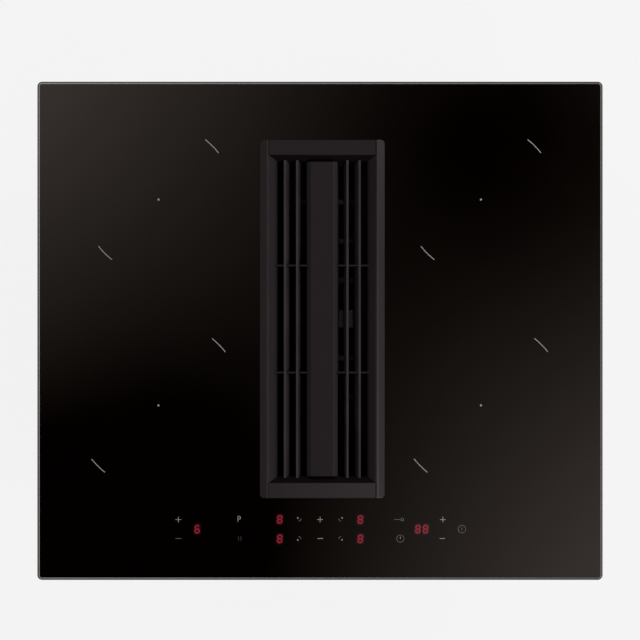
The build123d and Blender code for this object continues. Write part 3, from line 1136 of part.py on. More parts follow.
# ring with a sloped mouth, sleeve and flange, all of the same many-sided plan
with BuildPart() as inlet_nozzle:
    mouth_radius = NOZZLE_RADIUS + NOZZLE_BELL
    with BuildSketch(blower_plan(PLENUM_FLOOR)):
        add(nozzle_plan(NOZZLE_FLANGE_RADIUS))
    extrude(amount=NOZZLE_WALL)
    with BuildSketch(blower_plan(PLENUM_FLOOR - NOZZLE_REACH)):
        add(nozzle_plan(NOZZLE_RADIUS + NOZZLE_WALL))
    extrude(amount=NOZZLE_REACH)
    with BuildSketch(nozzle_mouth):
        add(nozzle_plan(mouth_radius + NOZZLE_WALL / 2))
    extrude(amount=NOZZLE_BELL, taper=NOZZLE_TAPER)
    with BuildSketch(nozzle_mouth.offset(-NOZZLE_WALL)):
        add(nozzle_plan(mouth_radius))
    extrude(amount=NOZZLE_BELL, taper=NOZZLE_TAPER, mode=Mode.SUBTRACT)
    with BuildSketch(blower_plan(PLENUM_FLOOR - NOZZLE_REACH)):
        add(nozzle_plan(NOZZLE_RADIUS))
    extrude(amount=NOZZLE_REACH, mode=Mode.SUBTRACT)
inlet_nozzle.part.label = "inlet_nozzle"
export_step(inlet_nozzle.part, "parts/inlet_nozzle.step")

with BuildPart() as blower_wheel:
    plate_ring = (WHEEL_BOTTOM, ROTOR_RADIUS, ROTOR_SIDES)
    front_ring = (WHEEL_TOP - WHEEL_PLATE, WHEEL_EYE_RADIUS, 2 * BLADE_COUNT)
    for ring_bottom, ring_inner, ring_sides in (plate_ring, front_ring):
        with BuildSketch(blower_plan(ring_bottom)):
            RegularPolygon(WHEEL_RADIUS, 2 * BLADE_COUNT)
            RegularPolygon(ring_inner, ring_sides, mode=Mode.SUBTRACT)
        extrude(amount=WHEEL_PLATE)
    # forward-curved blades, each an arc that starts straight out from the eye
    arc_x = WHEEL_EYE_RADIUS + BLADE_THICKNESS
    near_side = []
    far_side = []
    for k in range(BLADE_FACETS + 1):
        turn = math.radians(BLADE_ARC * k / BLADE_FACETS)
        for side_points, radius in ((near_side, BLADE_CURVE_RADIUS - BLADE_THICKNESS), (far_side, BLADE_CURVE_RADIUS)):
            side_points.append((arc_x + radius * math.sin(turn), BLADE_CURVE_RADIUS - radius * math.cos(turn)))
    with BuildSketch(blower_plan(WHEEL_BOTTOM + WHEEL_PLATE)):
        with PolarLocations(0, BLADE_COUNT):
            Polygon(*near_side, *reversed(far_side), align=None)
    extrude(amount=WHEEL_HEIGHT - 2 * WHEEL_PLATE)
blower_wheel.part.label = "blower_wheel"
export_step(blower_wheel.part, "parts/blower_wheel.step")

# external-rotor motor: the cup carries the wheel's plate, and turns with the shaft in the base's sleeve
with BuildPart() as motor_rotor:
    with BuildSketch(blower_plan(WHEEL_BOTTOM)):
        RegularPolygon(ROTOR_RADIUS, ROTOR_SIDES)
    extrude(amount=ROTOR_HEIGHT)
    with BuildSketch(blower_plan(WHEEL_BOTTOM)):
        RegularPolygon(ROTOR_RADIUS - ROTOR_WALL, ROTOR_SIDES)
    extrude(amount=ROTOR_HEIGHT - ROTOR_WALL, mode=Mode.SUBTRACT)
motor_rotor.part.label = "motor_rotor"
export_step(motor_rotor.part, "parts/motor_rotor.step")

with BuildPart() as motor_shaft:
    with BuildSketch(blower_plan(SHAFT_BOTTOM)):
        Circle(SHAFT_RADIUS)
    extrude(amount=ROTOR_TOP - ROTOR_WALL - SHAFT_BOTTOM)
motor_shaft.part.label = "motor_shaft"
export_step(motor_shaft.part, "parts/motor_shaft.step")

with BuildPart() as motor_base:
    with BuildSketch(blower_plan(SCROLL_FLOOR)):
        RegularPolygon(MOTOR_BASE_RADIUS, ROTOR_SIDES)
    extrude(amount=MOTOR_BASE_THICKNESS)
    with BuildSketch(blower_plan(SCROLL_FLOOR)):
        RegularPolygon(BEARING_TUBE_RADIUS, STATOR_POLES)
    extrude(amount=BEARING_TUBE_TOP - SCROLL_FLOOR)
    with BuildSketch(blower_plan(MOTOR_BASE_TOP)):
        Circle(SHAFT_RADIUS + SHAFT_RUNNING_GAP)
    extrude(amount=BEARING_TUBE_TOP - MOTOR_BASE_TOP, mode=Mode.SUBTRACT)
motor_base.part.label = "motor_base"
export_step(motor_base.part, "parts/motor_base.step")

with BuildPart() as motor_stator:
    with BuildSketch(blower_plan(MOTOR_BASE_TOP + STATOR_LIFT)):
        RegularPolygon(STATOR_CORE_RADIUS, STATOR_POLES)
        with PolarLocations((STATOR_CORE_RADIUS + STATOR_RADIUS) / 2 - STATOR_SHOE_DEPTH, STATOR_POLES):
            Rectangle(STATOR_RADIUS - STATOR_CORE_RADIUS, STATOR_POLE_WIDTH)
        with PolarLocations(STATOR_RADIUS - STATOR_SHOE_DEPTH, STATOR_POLES):
            Rectangle(STATOR_SHOE_DEPTH, STATOR_SHOE_WIDTH)
        RegularPolygon(BEARING_TUBE_RADIUS, STATOR_POLES, mode=Mode.SUBTRACT)
    extrude(amount=STATOR_HEIGHT)
motor_stator.part.label = "motor_stator"
export_step(motor_stator.part, "parts/motor_stator.step")

with BuildPart() as blower_driver:
    driver_x = VENT_X - SCROLL_START_RADIUS - SCROLL_WALL - DRIVER_LENGTH / 2 - SCROLL_STEP
    with BuildSketch(Plane.XY.offset(TRAY_BOTTOM - DRIVER_HEIGHT)):
        with Locations((driver_x - PLENUM_FLANGE, BLOWER_Y)):
            add(cut_cornered(DRIVER_LENGTH, DRIVER_WIDTH, DRIVER_CORNER_CUT))
    extrude(amount=DRIVER_HEIGHT)
blower_driver.part.label = "blower_driver"
export_step(blower_driver.part, "parts/blower_driver.step")

# ---------------------------------------------------------------- outlet and non-return flap
def duct_outline(half_throat, half_mouth):
    """Plan of the outlet, which widens from the scroll's throat to the duct's width and then runs straight."""
    with BuildSketch() as outline:
        with BuildLine():
            Polyline(
                (THROAT_X - half_throat, OUTLET_Y),
                (THROAT_X - half_mouth, SPIGOT_Y),
                (THROAT_X - half_mouth, SPIGOT_Y + SPIGOT_DEPTH),
                (THROAT_X + half_mouth, SPIGOT_Y + SPIGOT_DEPTH),
                (THROAT_X + half_mouth, SPIGOT_Y),
                (THROAT_X + half_throat, OUTLET_Y),
                close=True,
            )
        make_face()
    return outline.sketch


with BuildPart() as outlet_spigot:
    with BuildSketch(Plane.XY.offset(SCROLL_BOTTOM)):
        add(duct_outline(THROAT_WIDTH / 2 + SCROLL_WALL, SPIGOT_LENGTH / 2))
    extrude(amount=DUCT_HEIGHT)
    with BuildSketch(Plane.XY.offset(SCROLL_FLOOR)):
        add(duct_outline(THROAT_WIDTH / 2, SPIGOT_LENGTH / 2 - SPIGOT_WALL))
    extrude(amount=THROAT_HEIGHT, mode=Mode.SUBTRACT)
outlet_spigot.part.label = "outlet_spigot"
export_step(outlet_spigot.part, "parts/outlet_spigot.step")

pin_plane = Plane(origin=(VENT_X + THROAT_INNER_X, FLAP_Y, FLAP_PIN_Z), x_dir=(0, 1, 0), z_dir=(1, 0, 0))

with BuildPart() as flap_pin:
    with BuildSketch(pin_plane):
        Circle(PIN_RADIUS)
    extrude(amount=THROAT_WIDTH)
flap_pin.part.label = "flap_pin"
export_step(flap_pin.part, "parts/flap_pin.step")

with BuildPart() as non_return_flap:
    knuckle_plane = pin_plane.offset(FLAP_SIDE_GAP)
    flap_width = THROAT_WIDTH - 2 * FLAP_SIDE_GAP
    flap_drop = FLAP_PIN_Z - SCROLL_FLOOR - FLAP_SIDE_GAP
    with BuildSketch(knuckle_plane):
        RegularPolygon(KNUCKLE_RADIUS, KNUCKLE_SIDES)
        with Locations((0, -flap_drop / 2)):
            Rectangle(FLAP_THICKNESS, flap_drop)
        Circle(PIN_RADIUS + PIN_RUNNING_GAP, mode=Mode.SUBTRACT)
    extrude(amount=flap_width)
non_return_flap.part.label = "non_return_flap"
export_step(non_return_flap.part, "parts/non_return_flap.step")
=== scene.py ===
import json
import math

import bmesh
import bpy
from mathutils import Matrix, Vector
from mathutils.bvhtree import BVHTree


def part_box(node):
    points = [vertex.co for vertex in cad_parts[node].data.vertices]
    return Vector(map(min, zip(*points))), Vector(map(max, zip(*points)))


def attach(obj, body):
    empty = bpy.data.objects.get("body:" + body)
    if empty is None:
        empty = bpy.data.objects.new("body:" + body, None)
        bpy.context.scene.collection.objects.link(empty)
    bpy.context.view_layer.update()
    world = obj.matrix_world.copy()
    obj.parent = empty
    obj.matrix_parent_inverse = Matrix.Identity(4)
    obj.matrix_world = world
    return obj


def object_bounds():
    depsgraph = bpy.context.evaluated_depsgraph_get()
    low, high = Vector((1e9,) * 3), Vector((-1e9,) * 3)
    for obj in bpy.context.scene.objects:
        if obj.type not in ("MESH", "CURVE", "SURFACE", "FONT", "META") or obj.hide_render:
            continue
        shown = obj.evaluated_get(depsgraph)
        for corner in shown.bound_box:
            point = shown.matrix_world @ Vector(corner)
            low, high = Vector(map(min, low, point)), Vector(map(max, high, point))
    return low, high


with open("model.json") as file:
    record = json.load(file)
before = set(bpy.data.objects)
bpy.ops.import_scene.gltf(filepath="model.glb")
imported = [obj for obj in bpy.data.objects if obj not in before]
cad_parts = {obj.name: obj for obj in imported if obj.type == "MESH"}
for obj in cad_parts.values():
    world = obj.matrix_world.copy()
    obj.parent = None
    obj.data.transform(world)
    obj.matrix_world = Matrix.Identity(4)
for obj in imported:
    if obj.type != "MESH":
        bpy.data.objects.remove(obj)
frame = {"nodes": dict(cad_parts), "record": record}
cad_low, cad_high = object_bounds()
NODES = frame["nodes"]
MM = 0.001

# The photograph looks straight down. PIXEL is the length of one of its pixels on the glass, and PHOTO_MIDDLE
# is the pixel at the middle of the glass.
PIXEL = 1.0434 * MM
PHOTO_MIDDLE = (320.05, 330.8)
IMAGE_SIDE = 640
CAMERA_DISTANCE = 3.0
SENSOR = 36.0

glass_low, glass_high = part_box("glass_top")
GLASS_TOP = glass_high.z
GLASS_HALF_X = (glass_high.x - glass_low.x) / 2
GLASS_HALF_Y = (glass_high.y - glass_low.y) / 2
GRILLE_RISE = 6.0 * MM
RIDGE_TOP = GLASS_TOP + GRILLE_RISE

# In millimetres: x of the vent's middle, which the suction box and the blower share, y of the box's middle,
# and y of the blower's axis.
VENT_X = 2.4
BOX_Y = 5.0
BLOWER_Y = 80.0


def on_glass(x, y):
    """Place on the glass, in metres, of a point of the photograph."""
    return Vector(((x - PHOTO_MIDDLE[0]) * PIXEL, (PHOTO_MIDDLE[1] - y) * PIXEL))


# ---------------------------------------------------------------- node helpers
class Nodes:
    """Makes and links the nodes of one tree; each input is a number, a colour or another node's output."""

    def __init__(self, tree):
        self.tree = tree
        self.tree.nodes.clear()

    def put(self, node, socket, value):
        target = node.inputs[socket]
        if isinstance(value, bpy.types.NodeSocket):
            self.tree.links.new(value, target)
        else:
            target.default_value = value

    def node(self, kind, settings=(), **inputs):
        made = self.tree.nodes.new("ShaderNode" + kind)
        for name, value in dict(settings).items():
            setattr(made, name, value)
        for socket, value in inputs.items():
            self.put(made, socket.replace("_", " "), value)
        return made

    def math(self, operation, a, b=0.0):
        made = self.node("Math", {"operation": operation})
        self.put(made, 0, a)
        self.put(made, 1, b)
        return made.outputs[0]

    def times(self, a, b):
        return self.math("MULTIPLY", a, b)

    def total(self, first, *others):
        for other in others:
            first = self.math("ADD", first, other)
        return first

    def span(self, value, low, high, to_low=0.0, to_high=1.0, interpolation="LINEAR"):
        made = self.node("MapRange", {"interpolation_type": interpolation}, Value=value)
        limits = {"From Min": low, "From Max": high, "To Min": to_low, "To Max": to_high}
        for socket, number in limits.items():
            made.inputs[socket].default_value = number
        return made.outputs["Result"]

    def mixed_shaders(self, factor, first, second):
        made = self.node("MixShader", Fac=factor)
        self.put(made, 1, first.outputs[0])
        self.put(made, 2, second.outputs[0])
        return made.outputs[0]


class Look(Nodes):
    """One material: texture nodes in object space feeding a Principled shader."""

    def __init__(self, name, **constants):
        self.material = bpy.data.materials.new(name)
        self.material.use_nodes = True
        super().__init__(self.material.node_tree)
        self.shader = self.node("BsdfPrincipled", **constants)
        self.node("OutputMaterial", Surface=self.shader.outputs["BSDF"])
        self.place = self.node("TexCoord").outputs["Object"]

    def stretched(self, scale):
        made = self.node("Mapping", Vector=self.place)
        made.inputs["Scale"].default_value = scale
        return made.outputs[0]

    def noise(self, scale, detail, vector=None):
        made = self.node("TexNoise", Vector=vector or self.place, Scale=scale, Detail=detail)
        return made.outputs["Fac"]

    def cells(self, scale, feature="F1", output="Distance"):
        made = self.node("TexVoronoi", {"feature": feature}, Vector=self.place, Scale=scale)
        return made.outputs[output]

    def axes(self):
        return self.node("SeparateXYZ", Vector=self.place).outputs

    def about(self, x, y):
        """The axes measured from a point of the plan, and the distance from that point."""
        centred = self.node("Mapping", Vector=self.place)
        centred.inputs["Location"].default_value = (-x, -y, 0.0)
        axes = self.node("SeparateXYZ", Vector=centred.outputs[0]).outputs
        return axes, self.length(axes["X"], axes["Y"])

    def length(self, x, y):
        squares = self.math("ADD", self.math("POWER", x, 2.0), self.math("POWER", y, 2.0))
        return self.math("SQRT", squares)

    def spread(self, noise, to_low=0.0, to_high=1.0):
        """A noise stretched from the range that it keeps to."""
        return self.span(noise, 0.3, 0.7, to_low, to_high)

    def blend(self, factor, first, second):
        made = self.node("Mix", {"data_type": "RGBA"})
        self.put(made, "Factor", factor)
        sockets = [s for s in made.inputs if s.type == "RGBA"]
        for socket, value in zip(sockets, (first, second)):
            if isinstance(value, bpy.types.NodeSocket):
                self.tree.links.new(value, socket)
            else:
                socket.default_value = (*value, 1.0)
        return [s for s in made.outputs if s.type == "RGBA"][0]

    def finish(self, colour, roughness, height=None, bump=0.0, depth=0.0):
        self.put(self.shader, "Base Color", colour)
        self.put(self.shader, "Roughness", roughness)
        if height is not None:
            made = self.node("Bump", Height=height, Strength=bump, Distance=depth)
            self.put(self.shader, "Normal", made.outputs["Normal"])
        return self.material


# ---------------------------------------------------------------- materials
# Texture scales per metre, sizes of the glass's rim, of the wire and of the grille's painted sheen, and the
# shades of glass, enamel and housing.
FINE_GRAIN = 2600.0
SLOW_SHADE = 16.0
HANDLED_PATCHES = 55.0
GLASS_CORNER_RADIUS = 5.0 * MM
GROUND_WIDTH = 2.35 * MM
OUTER_BAND_WIDTH = 1.35 * MM
WIRE_PITCH = 3.2 * MM
PAINTED_SHEEN_HALF_X = 65.0 * MM
PAINTED_SHEEN_HALF_Y = 160.0 * MM
RAIL_X = 50.0 * MM
GLASS_BLACKS = (0.0008, 0.0002, 0.0), (0.0013, 0.0005, 0.0001)
GLASS_TINT = (1.0, 0.87, 0.79, 1.0)
ENAMEL_TINT = (1.0, 0.87, 0.90, 1.0)
# grey of the painted sheen on the grille's crests and of the painted highlight on its ridge
ENAMEL_PAINTED_SHEEN = (0.030, 0.026, 0.027)
# painted shade in the grille's joints
ENAMEL_SEAM_SHADE = (0.0006, 0.0004, 0.0004)
HOUSING_SHADES = (0.040, 0.041, 0.043), (0.060, 0.061, 0.064)


def moulded(name, dark, light, roughness=(0.42, 0.58), grain=FINE_GRAIN, bump=0.12):
    """Moulded plastic or rubber: fine erosion grain, slow shade changes, duller where it has been handled."""
    look = Look(name)
    slow = look.noise(scale=SLOW_SHADE, detail=3.0)
    fine = look.noise(scale=grain, detail=2.0)
    colour = look.blend(look.spread(slow), dark, light)
    rough = look.spread(look.noise(scale=HANDLED_PATCHES, detail=5.0), *roughness)
    return look.finish(colour, rough, height=fine, bump=bump, depth=0.2 * MM)


def sheet_steel(name, dark, light, spangle, roughness=(0.3, 0.5)):
    """Zinc-coated sheet: angular spangle, rolling lines and a little haze."""
    look = Look(name, Metallic=0.9)
    flakes = look.cells(spangle, output="Color")
    shade = look.node("SeparateColor", Color=flakes).outputs["Red"]
    lines = look.noise(scale=40.0, detail=3.0, vector=look.stretched((1.0, 30.0, 1.0)))
    mixed = look.math("ADD", look.times(shade, 0.65), look.times(lines, 0.35))
    colour = look.blend(mixed, dark, light)
    rough = look.span(mixed, 0.1, 0.9, *roughness)
    unevenness = look.noise(scale=900.0, detail=2.0)
    return look.finish(colour, rough, height=unevenness, bump=0.06, depth=0.2 * MM)


def brushed(name, dark, light, direction, roughness=(0.25, 0.42)):
    """Drawn or turned metal with fine lines along one direction."""
    look = Look(name, Metallic=1.0)
    lines = look.noise(scale=70.0, detail=4.0, vector=look.stretched(direction))
    colour = look.blend(look.spread(lines), dark, light)
    return look.finish(colour, look.spread(lines, *roughness), height=lines, bump=0.08, depth=0.2 * MM)


def glass_look():
    """Black glass ceramic, near-mirror; round its rim a ground bevel, as two bands of painted light: the
    inner one a painted highlight, and both painted lighter on the left than on the right.
    """
    look = Look("black_glass", IOR=1.5, Specular_Tint=GLASS_TINT)
    axes = look.axes()
    past_x = look.math("SUBTRACT", look.math("ABSOLUTE", axes["X"]), GLASS_HALF_X - GLASS_CORNER_RADIUS)
    past_y = look.math("SUBTRACT", look.math("ABSOLUTE", axes["Y"]), GLASS_HALF_Y - GLASS_CORNER_RADIUS)
    corner = look.length(look.math("MAXIMUM", past_x, 0.0), look.math("MAXIMUM", past_y, 0.0))
    inside = look.math("MINIMUM", look.math("MAXIMUM", past_x, past_y), 0.0)
    beyond = look.math("ADD", corner, inside)
    inset = look.math("SUBTRACT", GLASS_CORNER_RADIUS, beyond)
    ground = look.span(inset, GROUND_WIDTH + 0.15 * MM, GROUND_WIDTH)
    outer = look.span(inset, OUTER_BAND_WIDTH + 0.25 * MM, OUTER_BAND_WIDTH)
    haze = look.noise(scale=9.0, detail=4.0)
    black = look.blend(look.span(haze, 0.35, 0.65), *GLASS_BLACKS)
    # painted light: the rim's two bands fade from lighter on the left to darker on the right, and the inner
    # band is brighter as a painted highlight
    painted_light_rightward = look.span(axes["X"], -GLASS_HALF_X, GLASS_HALF_X)
    painted_highlight_band = look.blend(painted_light_rightward, (0.30, 0.30, 0.30), (0.12, 0.12, 0.12))
    outer_band = look.blend(painted_light_rightward, (0.080, 0.081, 0.083), (0.045, 0.046, 0.048))
    colour = look.blend(ground, black, look.blend(outer, painted_highlight_band, outer_band))
    rough = look.math("ADD", look.spread(haze, 0.02, 0.05), look.times(ground, 0.34))
    return look.finish(colour, rough)


def enamel_look(name, dark, light):
    """Cast iron under black satin enamel, pebbled, with a painted sheen on its crests, a painted highlight on
    its ridge, and painted shade, duller, in its joints.
    """
    look = Look(name, Specular_Tint=ENAMEL_TINT)
    pebble = look.noise(scale=1400.0, detail=4.0)
    slow = look.noise(scale=30.0, detail=4.0)
    body = look.blend(look.spread(slow), dark, light)
    axes = look.axes()
    # painted sheen: all that comes near the ridge's height, as the end bars' tops do, is painted greyest in
    # front and at the right
    near_ridge = look.span(axes["Z"], RIDGE_TOP - 0.9 * MM, RIDGE_TOP - 0.65 * MM)
    to_front = look.span(axes["Y"], -PAINTED_SHEEN_HALF_Y, PAINTED_SHEEN_HALF_Y, 0.66, 0.06)
    to_right = look.span(axes["X"], -PAINTED_SHEEN_HALF_X, PAINTED_SHEEN_HALF_X, 0.25, 1.0)
    crest = look.times(near_ridge, look.times(to_front, to_right))
    # painted highlight: the ridge itself is painted greyest on the left rail
    at_ridge = look.span(axes["Z"], RIDGE_TOP - 0.2 * MM, RIDGE_TOP - 0.05 * MM)
    ridge = look.times(at_ridge, look.span(axes["X"], -RAIL_X, RAIL_X, 0.65, 0.0))
    colour = look.blend(look.math("MAXIMUM", crest, ridge), body, ENAMEL_PAINTED_SHEEN)
    # painted shade: the joints between the end bars and the rails, in line with the funnel's long sides, are
    # painted dark and made duller
    funnel_low, funnel_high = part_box("grille_slopes")
    middle, half = (funnel_low + funnel_high) / 2, (funnel_high - funnel_low) / 2
    off_x = look.math("ABSOLUTE", look.math("SUBTRACT", axes["X"], middle.x))
    off_y = look.math("ABSOLUTE", look.math("SUBTRACT", axes["Y"], middle.y))
    off_seam = look.math("ABSOLUTE", look.math("SUBTRACT", off_x, half.x))
    seam = look.times(look.span(off_seam, 0.75 * MM, 0.45 * MM), look.span(off_y, half.y, half.y + 0.4 * MM))
    rough = look.math("ADD", look.spread(pebble, 0.26, 0.36), look.times(seam, 0.6))
    seam_shaded = look.blend(seam, colour, ENAMEL_SEAM_SHADE)
    return look.finish(seam_shaded, rough, height=pebble, bump=0.12, depth=0.3 * MM)


def glow_look(name, level):
    """Red light seen through the dark glass, a little uneven."""
    look = Look(name, Emission_Strength=level)
    grain = look.noise(scale=700.0, detail=2.0)
    even = look.spread(grain)
    look.put(look.shader, "Emission Color", look.blend(even, (0.82, 0.060, 0.105), (1.0, 0.075, 0.13)))
    return look.finish(look.blend(grain, *GLASS_BLACKS), look.spread(grain, 0.03, 0.05))


def ringed_look(name, dark, light, pitch, start, end):
    """Moulded plate with round ribs about the blower's axis, between two radii; sizes in millimetres."""
    look = Look(name)
    radius = look.about(VENT_X * MM, BLOWER_Y * MM)[1]
    turns = look.math("SINE", look.times(radius, 2 * math.pi / (pitch * MM)))
    within = look.times(look.span(radius, (start - 1) * MM, start * MM),
                        look.span(radius, (end + 1) * MM, end * MM))
    ridge = look.times(look.span(turns, 0.55, 0.9), within)
    grain = look.noise(scale=FINE_GRAIN, detail=2.0)
    slow = look.noise(scale=SLOW_SHADE, detail=3.0)
    colour = look.blend(look.spread(slow), dark, light)
    rough = look.spread(look.noise(scale=HANDLED_PATCHES, detail=5.0), 0.42, 0.58)
    height = look.math("ADD", ridge, look.times(grain, 0.06))
    return look.finish(colour, rough, height=height, bump=0.8, depth=1.2 * MM)


def print_look(name, shade):
    """Fired grey screen print on the glass, with the dots of its screen."""
    look = Look(name)
    dots = look.cells(FINE_GRAIN)
    colour = look.blend(look.span(dots, 0.1, 0.7), (shade,) * 3, (0.8 * shade,) * 3)
    rough = look.span(dots, 0.1, 0.7, 0.45, 0.6)
    return look.finish(colour, rough, height=dots, bump=0.1, depth=0.1 * MM)


def mesh_look():
    """Knitted dark wire mesh of the grease filter."""
    look = Look("filter_steel", Metallic=0.6)
    waves = [look.node("TexWave", {"bands_direction": axis}, Vector=look.place, Scale=260.0, Distortion=1.0)
             for axis in "XY"]
    wires = look.math("MAXIMUM", *(wave.outputs["Fac"] for wave in waves))
    colour = look.blend(look.span(wires, 0.3, 0.9), (0.004, 0.003, 0.003), (0.030, 0.026, 0.026))
    rough = look.span(wires, 0.3, 0.9, 0.6, 0.38)
    return look.finish(colour, rough, height=wires, bump=0.6, depth=0.6 * MM)


def winding_look(name, middle):
    """Litz wire wound in a flat spiral about one coil's middle, under clear varnish."""
    look = Look(name, Metallic=0.75, Coat_Weight=0.3)
    axes, radius = look.about(middle.x, middle.y)
    angle = look.math("ARCTAN2", axes["Y"], axes["X"])
    sweep = look.times(radius, 2 * math.pi / WIRE_PITCH)
    turns = look.math("SINE", look.math("ADD", sweep, angle))
    lay = look.math("SINE", look.math("ADD", look.times(angle, 150.0), sweep))
    mixed = look.times(look.span(turns, -0.9, 0.6), look.span(lay, -1.0, 1.0, 0.75, 1.0))
    colour = look.blend(mixed, (0.16, 0.045, 0.018), (0.62, 0.25, 0.12))
    height = look.math("ADD", mixed, look.times(look.noise(scale=900.0, detail=3.0), 0.1))
    rough = look.span(mixed, 0.1, 0.6, 0.5, 0.28)
    return look.finish(colour, rough, height=height, bump=0.7, depth=0.8 * MM)


def board_look():
    """Green solder mask over copper tracks."""
    look = Look("circuit_board", Coat_Weight=0.2)
    tracks = look.cells(160.0, "DISTANCE_TO_EDGE")
    islands = look.cells(45.0, output="Color")
    shade = look.node("SeparateColor", Color=islands).outputs["Green"]
    mask = look.blend(look.span(shade, 0.2, 0.8), (0.010, 0.055, 0.024), (0.016, 0.085, 0.036))
    colour = look.blend(look.span(tracks, 0.04, 0.06), (0.034, 0.15, 0.060), mask)
    rough = look.span(tracks, 0.0, 0.1, 0.3, 0.42)
    return look.finish(colour, rough, height=tracks, bump=0.2, depth=0.2 * MM)


LOOKS = {
    "black_glass": glass_look(),
    "seal_rubber": moulded("seal_rubber", (0.012, 0.012, 0.012), (0.02, 0.02, 0.02),
                           roughness=(0.6, 0.75), grain=900.0, bump=0.2),
    "galvanised_sheet": sheet_steel("galvanised_sheet", (0.42, 0.43, 0.44), (0.62, 0.63, 0.64),
                                    spangle=130.0),
    "black_plastic": moulded("black_plastic", (0.010, 0.010, 0.010), (0.017, 0.017, 0.018)),
    "filter_steel": mesh_look(),
    "grille_enamel": enamel_look("grille_enamel", (0.0020, 0.0010, 0.0013), (0.0030, 0.0018, 0.0022)),
    "former_plastic": moulded("former_plastic", (0.52, 0.50, 0.45), (0.62, 0.60, 0.55)),
    "ferrite": moulded("ferrite", (0.02, 0.02, 0.022), (0.042, 0.042, 0.045),
                       roughness=(0.5, 0.7), grain=700.0, bump=0.3),
    "sensor_ceramic": moulded("sensor_ceramic", (0.58, 0.56, 0.52), (0.7, 0.68, 0.64),
                              roughness=(0.35, 0.5), grain=900.0),
    "plain_aluminium": brushed("plain_aluminium", (0.55, 0.56, 0.57), (0.72, 0.73, 0.74),
                               direction=(1.0, 22.0, 1.0)),
    "circuit_board": board_look(),
    "fan_plastic": moulded("fan_plastic", (0.014, 0.014, 0.015), (0.024, 0.024, 0.026)),
    "display_red": glow_look("display_red", level=0.245),
    "terminal_plastic": moulded("terminal_plastic", (0.44, 0.43, 0.40), (0.55, 0.54, 0.50)),
    "housing_plastic": moulded("housing_plastic", *HOUSING_SHADES),
    "tank_plastic": moulded("tank_plastic", (0.30, 0.31, 0.32), (0.40, 0.41, 0.42), roughness=(0.3, 0.45)),
    "wheel_plastic": moulded("wheel_plastic", (0.016, 0.016, 0.017), (0.028, 0.028, 0.030)),
    "motor_steel": sheet_steel("motor_steel", (0.30, 0.31, 0.32), (0.48, 0.49, 0.50),
                               spangle=400.0, roughness=(0.28, 0.42)),
    "bright_steel": brushed("bright_steel", (0.52, 0.52, 0.52), (0.7, 0.7, 0.69),
                            direction=(1.0, 1.0, 14.0), roughness=(0.18, 0.34)),
}
PRINT = print_look("glass_print", shade=0.30)
DIM_PRINT = print_look("dim_print", shade=0.105)
FAINT_PRINT = print_look("faint_print", shade=0.016)
OWN_FINISH_OR_PAINTED_LIGHT = {
    "scroll_floor": ringed_look("scroll_plate", *HOUSING_SHADES, pitch=12.0, start=34.0, end=104.0),
    # the fins take a lighter copy of the grille's enamel, painted light where the rails shade them
    "grille_fins": enamel_look("fin_enamel_painted_lighter", (0.020, 0.0170, 0.0175), (0.030, 0.0260, 0.0265)),
}

slot_of = {entry["node"]: entry["material_slot"] for entry in frame["record"]["subparts"]}

# Width of the rounding on a node's sharp edges, in millimetres, for each slot that has any.
EDGE_ROUNDING = {
    "grille_enamel": 0.45,
    "black_plastic": 0.35,
    "housing_plastic": 0.6,
    "tank_plastic": 0.6,
    "galvanised_sheet": 0.2,
    "former_plastic": 0.3,
    "plain_aluminium": 0.2,
    "terminal_plastic": 0.3,
}


SAME_POINT = 0.001 * MM
FLAT_ANGLE = 0.5
SHARP_ANGLE = 25.0


def round_edges(piece, width):
    """Welds the imported facets and rounds the sharp edges, as modifiers only."""
    piece.modifiers.new("weld", "WELD").merge_threshold = SAME_POINT
    flat = piece.modifiers.new("flat", "DECIMATE")
    flat.decimate_type = "DISSOLVE"
    flat.angle_limit = math.radians(FLAT_ANGLE)
    bevel = piece.modifiers.new("edges", "BEVEL")
    bevel.width = width
    bevel.segments = 2
    bevel.limit_method = "ANGLE"
    bevel.angle_limit = math.radians(SHARP_ANGLE)
    normals = piece.modifiers.new("shade", "WEIGHTED_NORMAL")
    normals.keep_sharp = False


def look_of(name, slot_name):
    """Each slot's material; the coils wind about their own middles, the scroll floor has its own ribbed
    finish, and the fins a lighter copy of the enamel, painted light.
    """
    if slot_name == "copper_winding":
        low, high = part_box(name)
        return winding_look(name, (low + high) / 2)
    return OWN_FINISH_OR_PAINTED_LIGHT.get(name) or LOOKS[slot_name]


for name, node in NODES.items():
    slot_name = slot_of[name]
    node.data.materials.clear()
    node.data.materials.append(look_of(name, slot_name))
    if slot_name in EDGE_ROUNDING:
        round_edges(node, EDGE_ROUNDING[slot_name] * MM)


# ---------------------------------------------------------------- fasteners, ribs and beads
UP = Vector((0, 0, 1))
DOWN = -UP
RIGHT = Vector((1, 0, 0))
SIDES = {"left": -1, "right": 1}
ENDS = (-1, 1)
TREES = {}


def surface(name, start, direction):
    """Where a ray, given in millimetres, meets a CAD node, and the node's normal there."""
    if name not in TREES:
        mesh = NODES[name].data
        TREES[name] = BVHTree.FromPolygons([v.co for v in mesh.vertices], [p.vertices for p in mesh.polygons])
    place, normal, _, _ = TREES[name].ray_cast(Vector(start) * MM, Vector(direction))
    return place, normal


def seat_on(name, start, direction):
    """The place alone, so that a small piece sits on what carries it."""
    return surface(name, start, direction)[0]


def bridge(shape, loops):
    """Closes a chain of equal loops into one solid."""
    rings = [[shape.verts.new(point) for point in loop] for loop in loops]
    count = len(rings[0])
    for low, high in zip(rings, rings[1:]):
        for i in range(count):
            shape.faces.new((low[i], low[i - 1], high[i - 1], high[i]))
    shape.faces.new(rings[0])
    shape.faces.new(rings[-1][::-1])


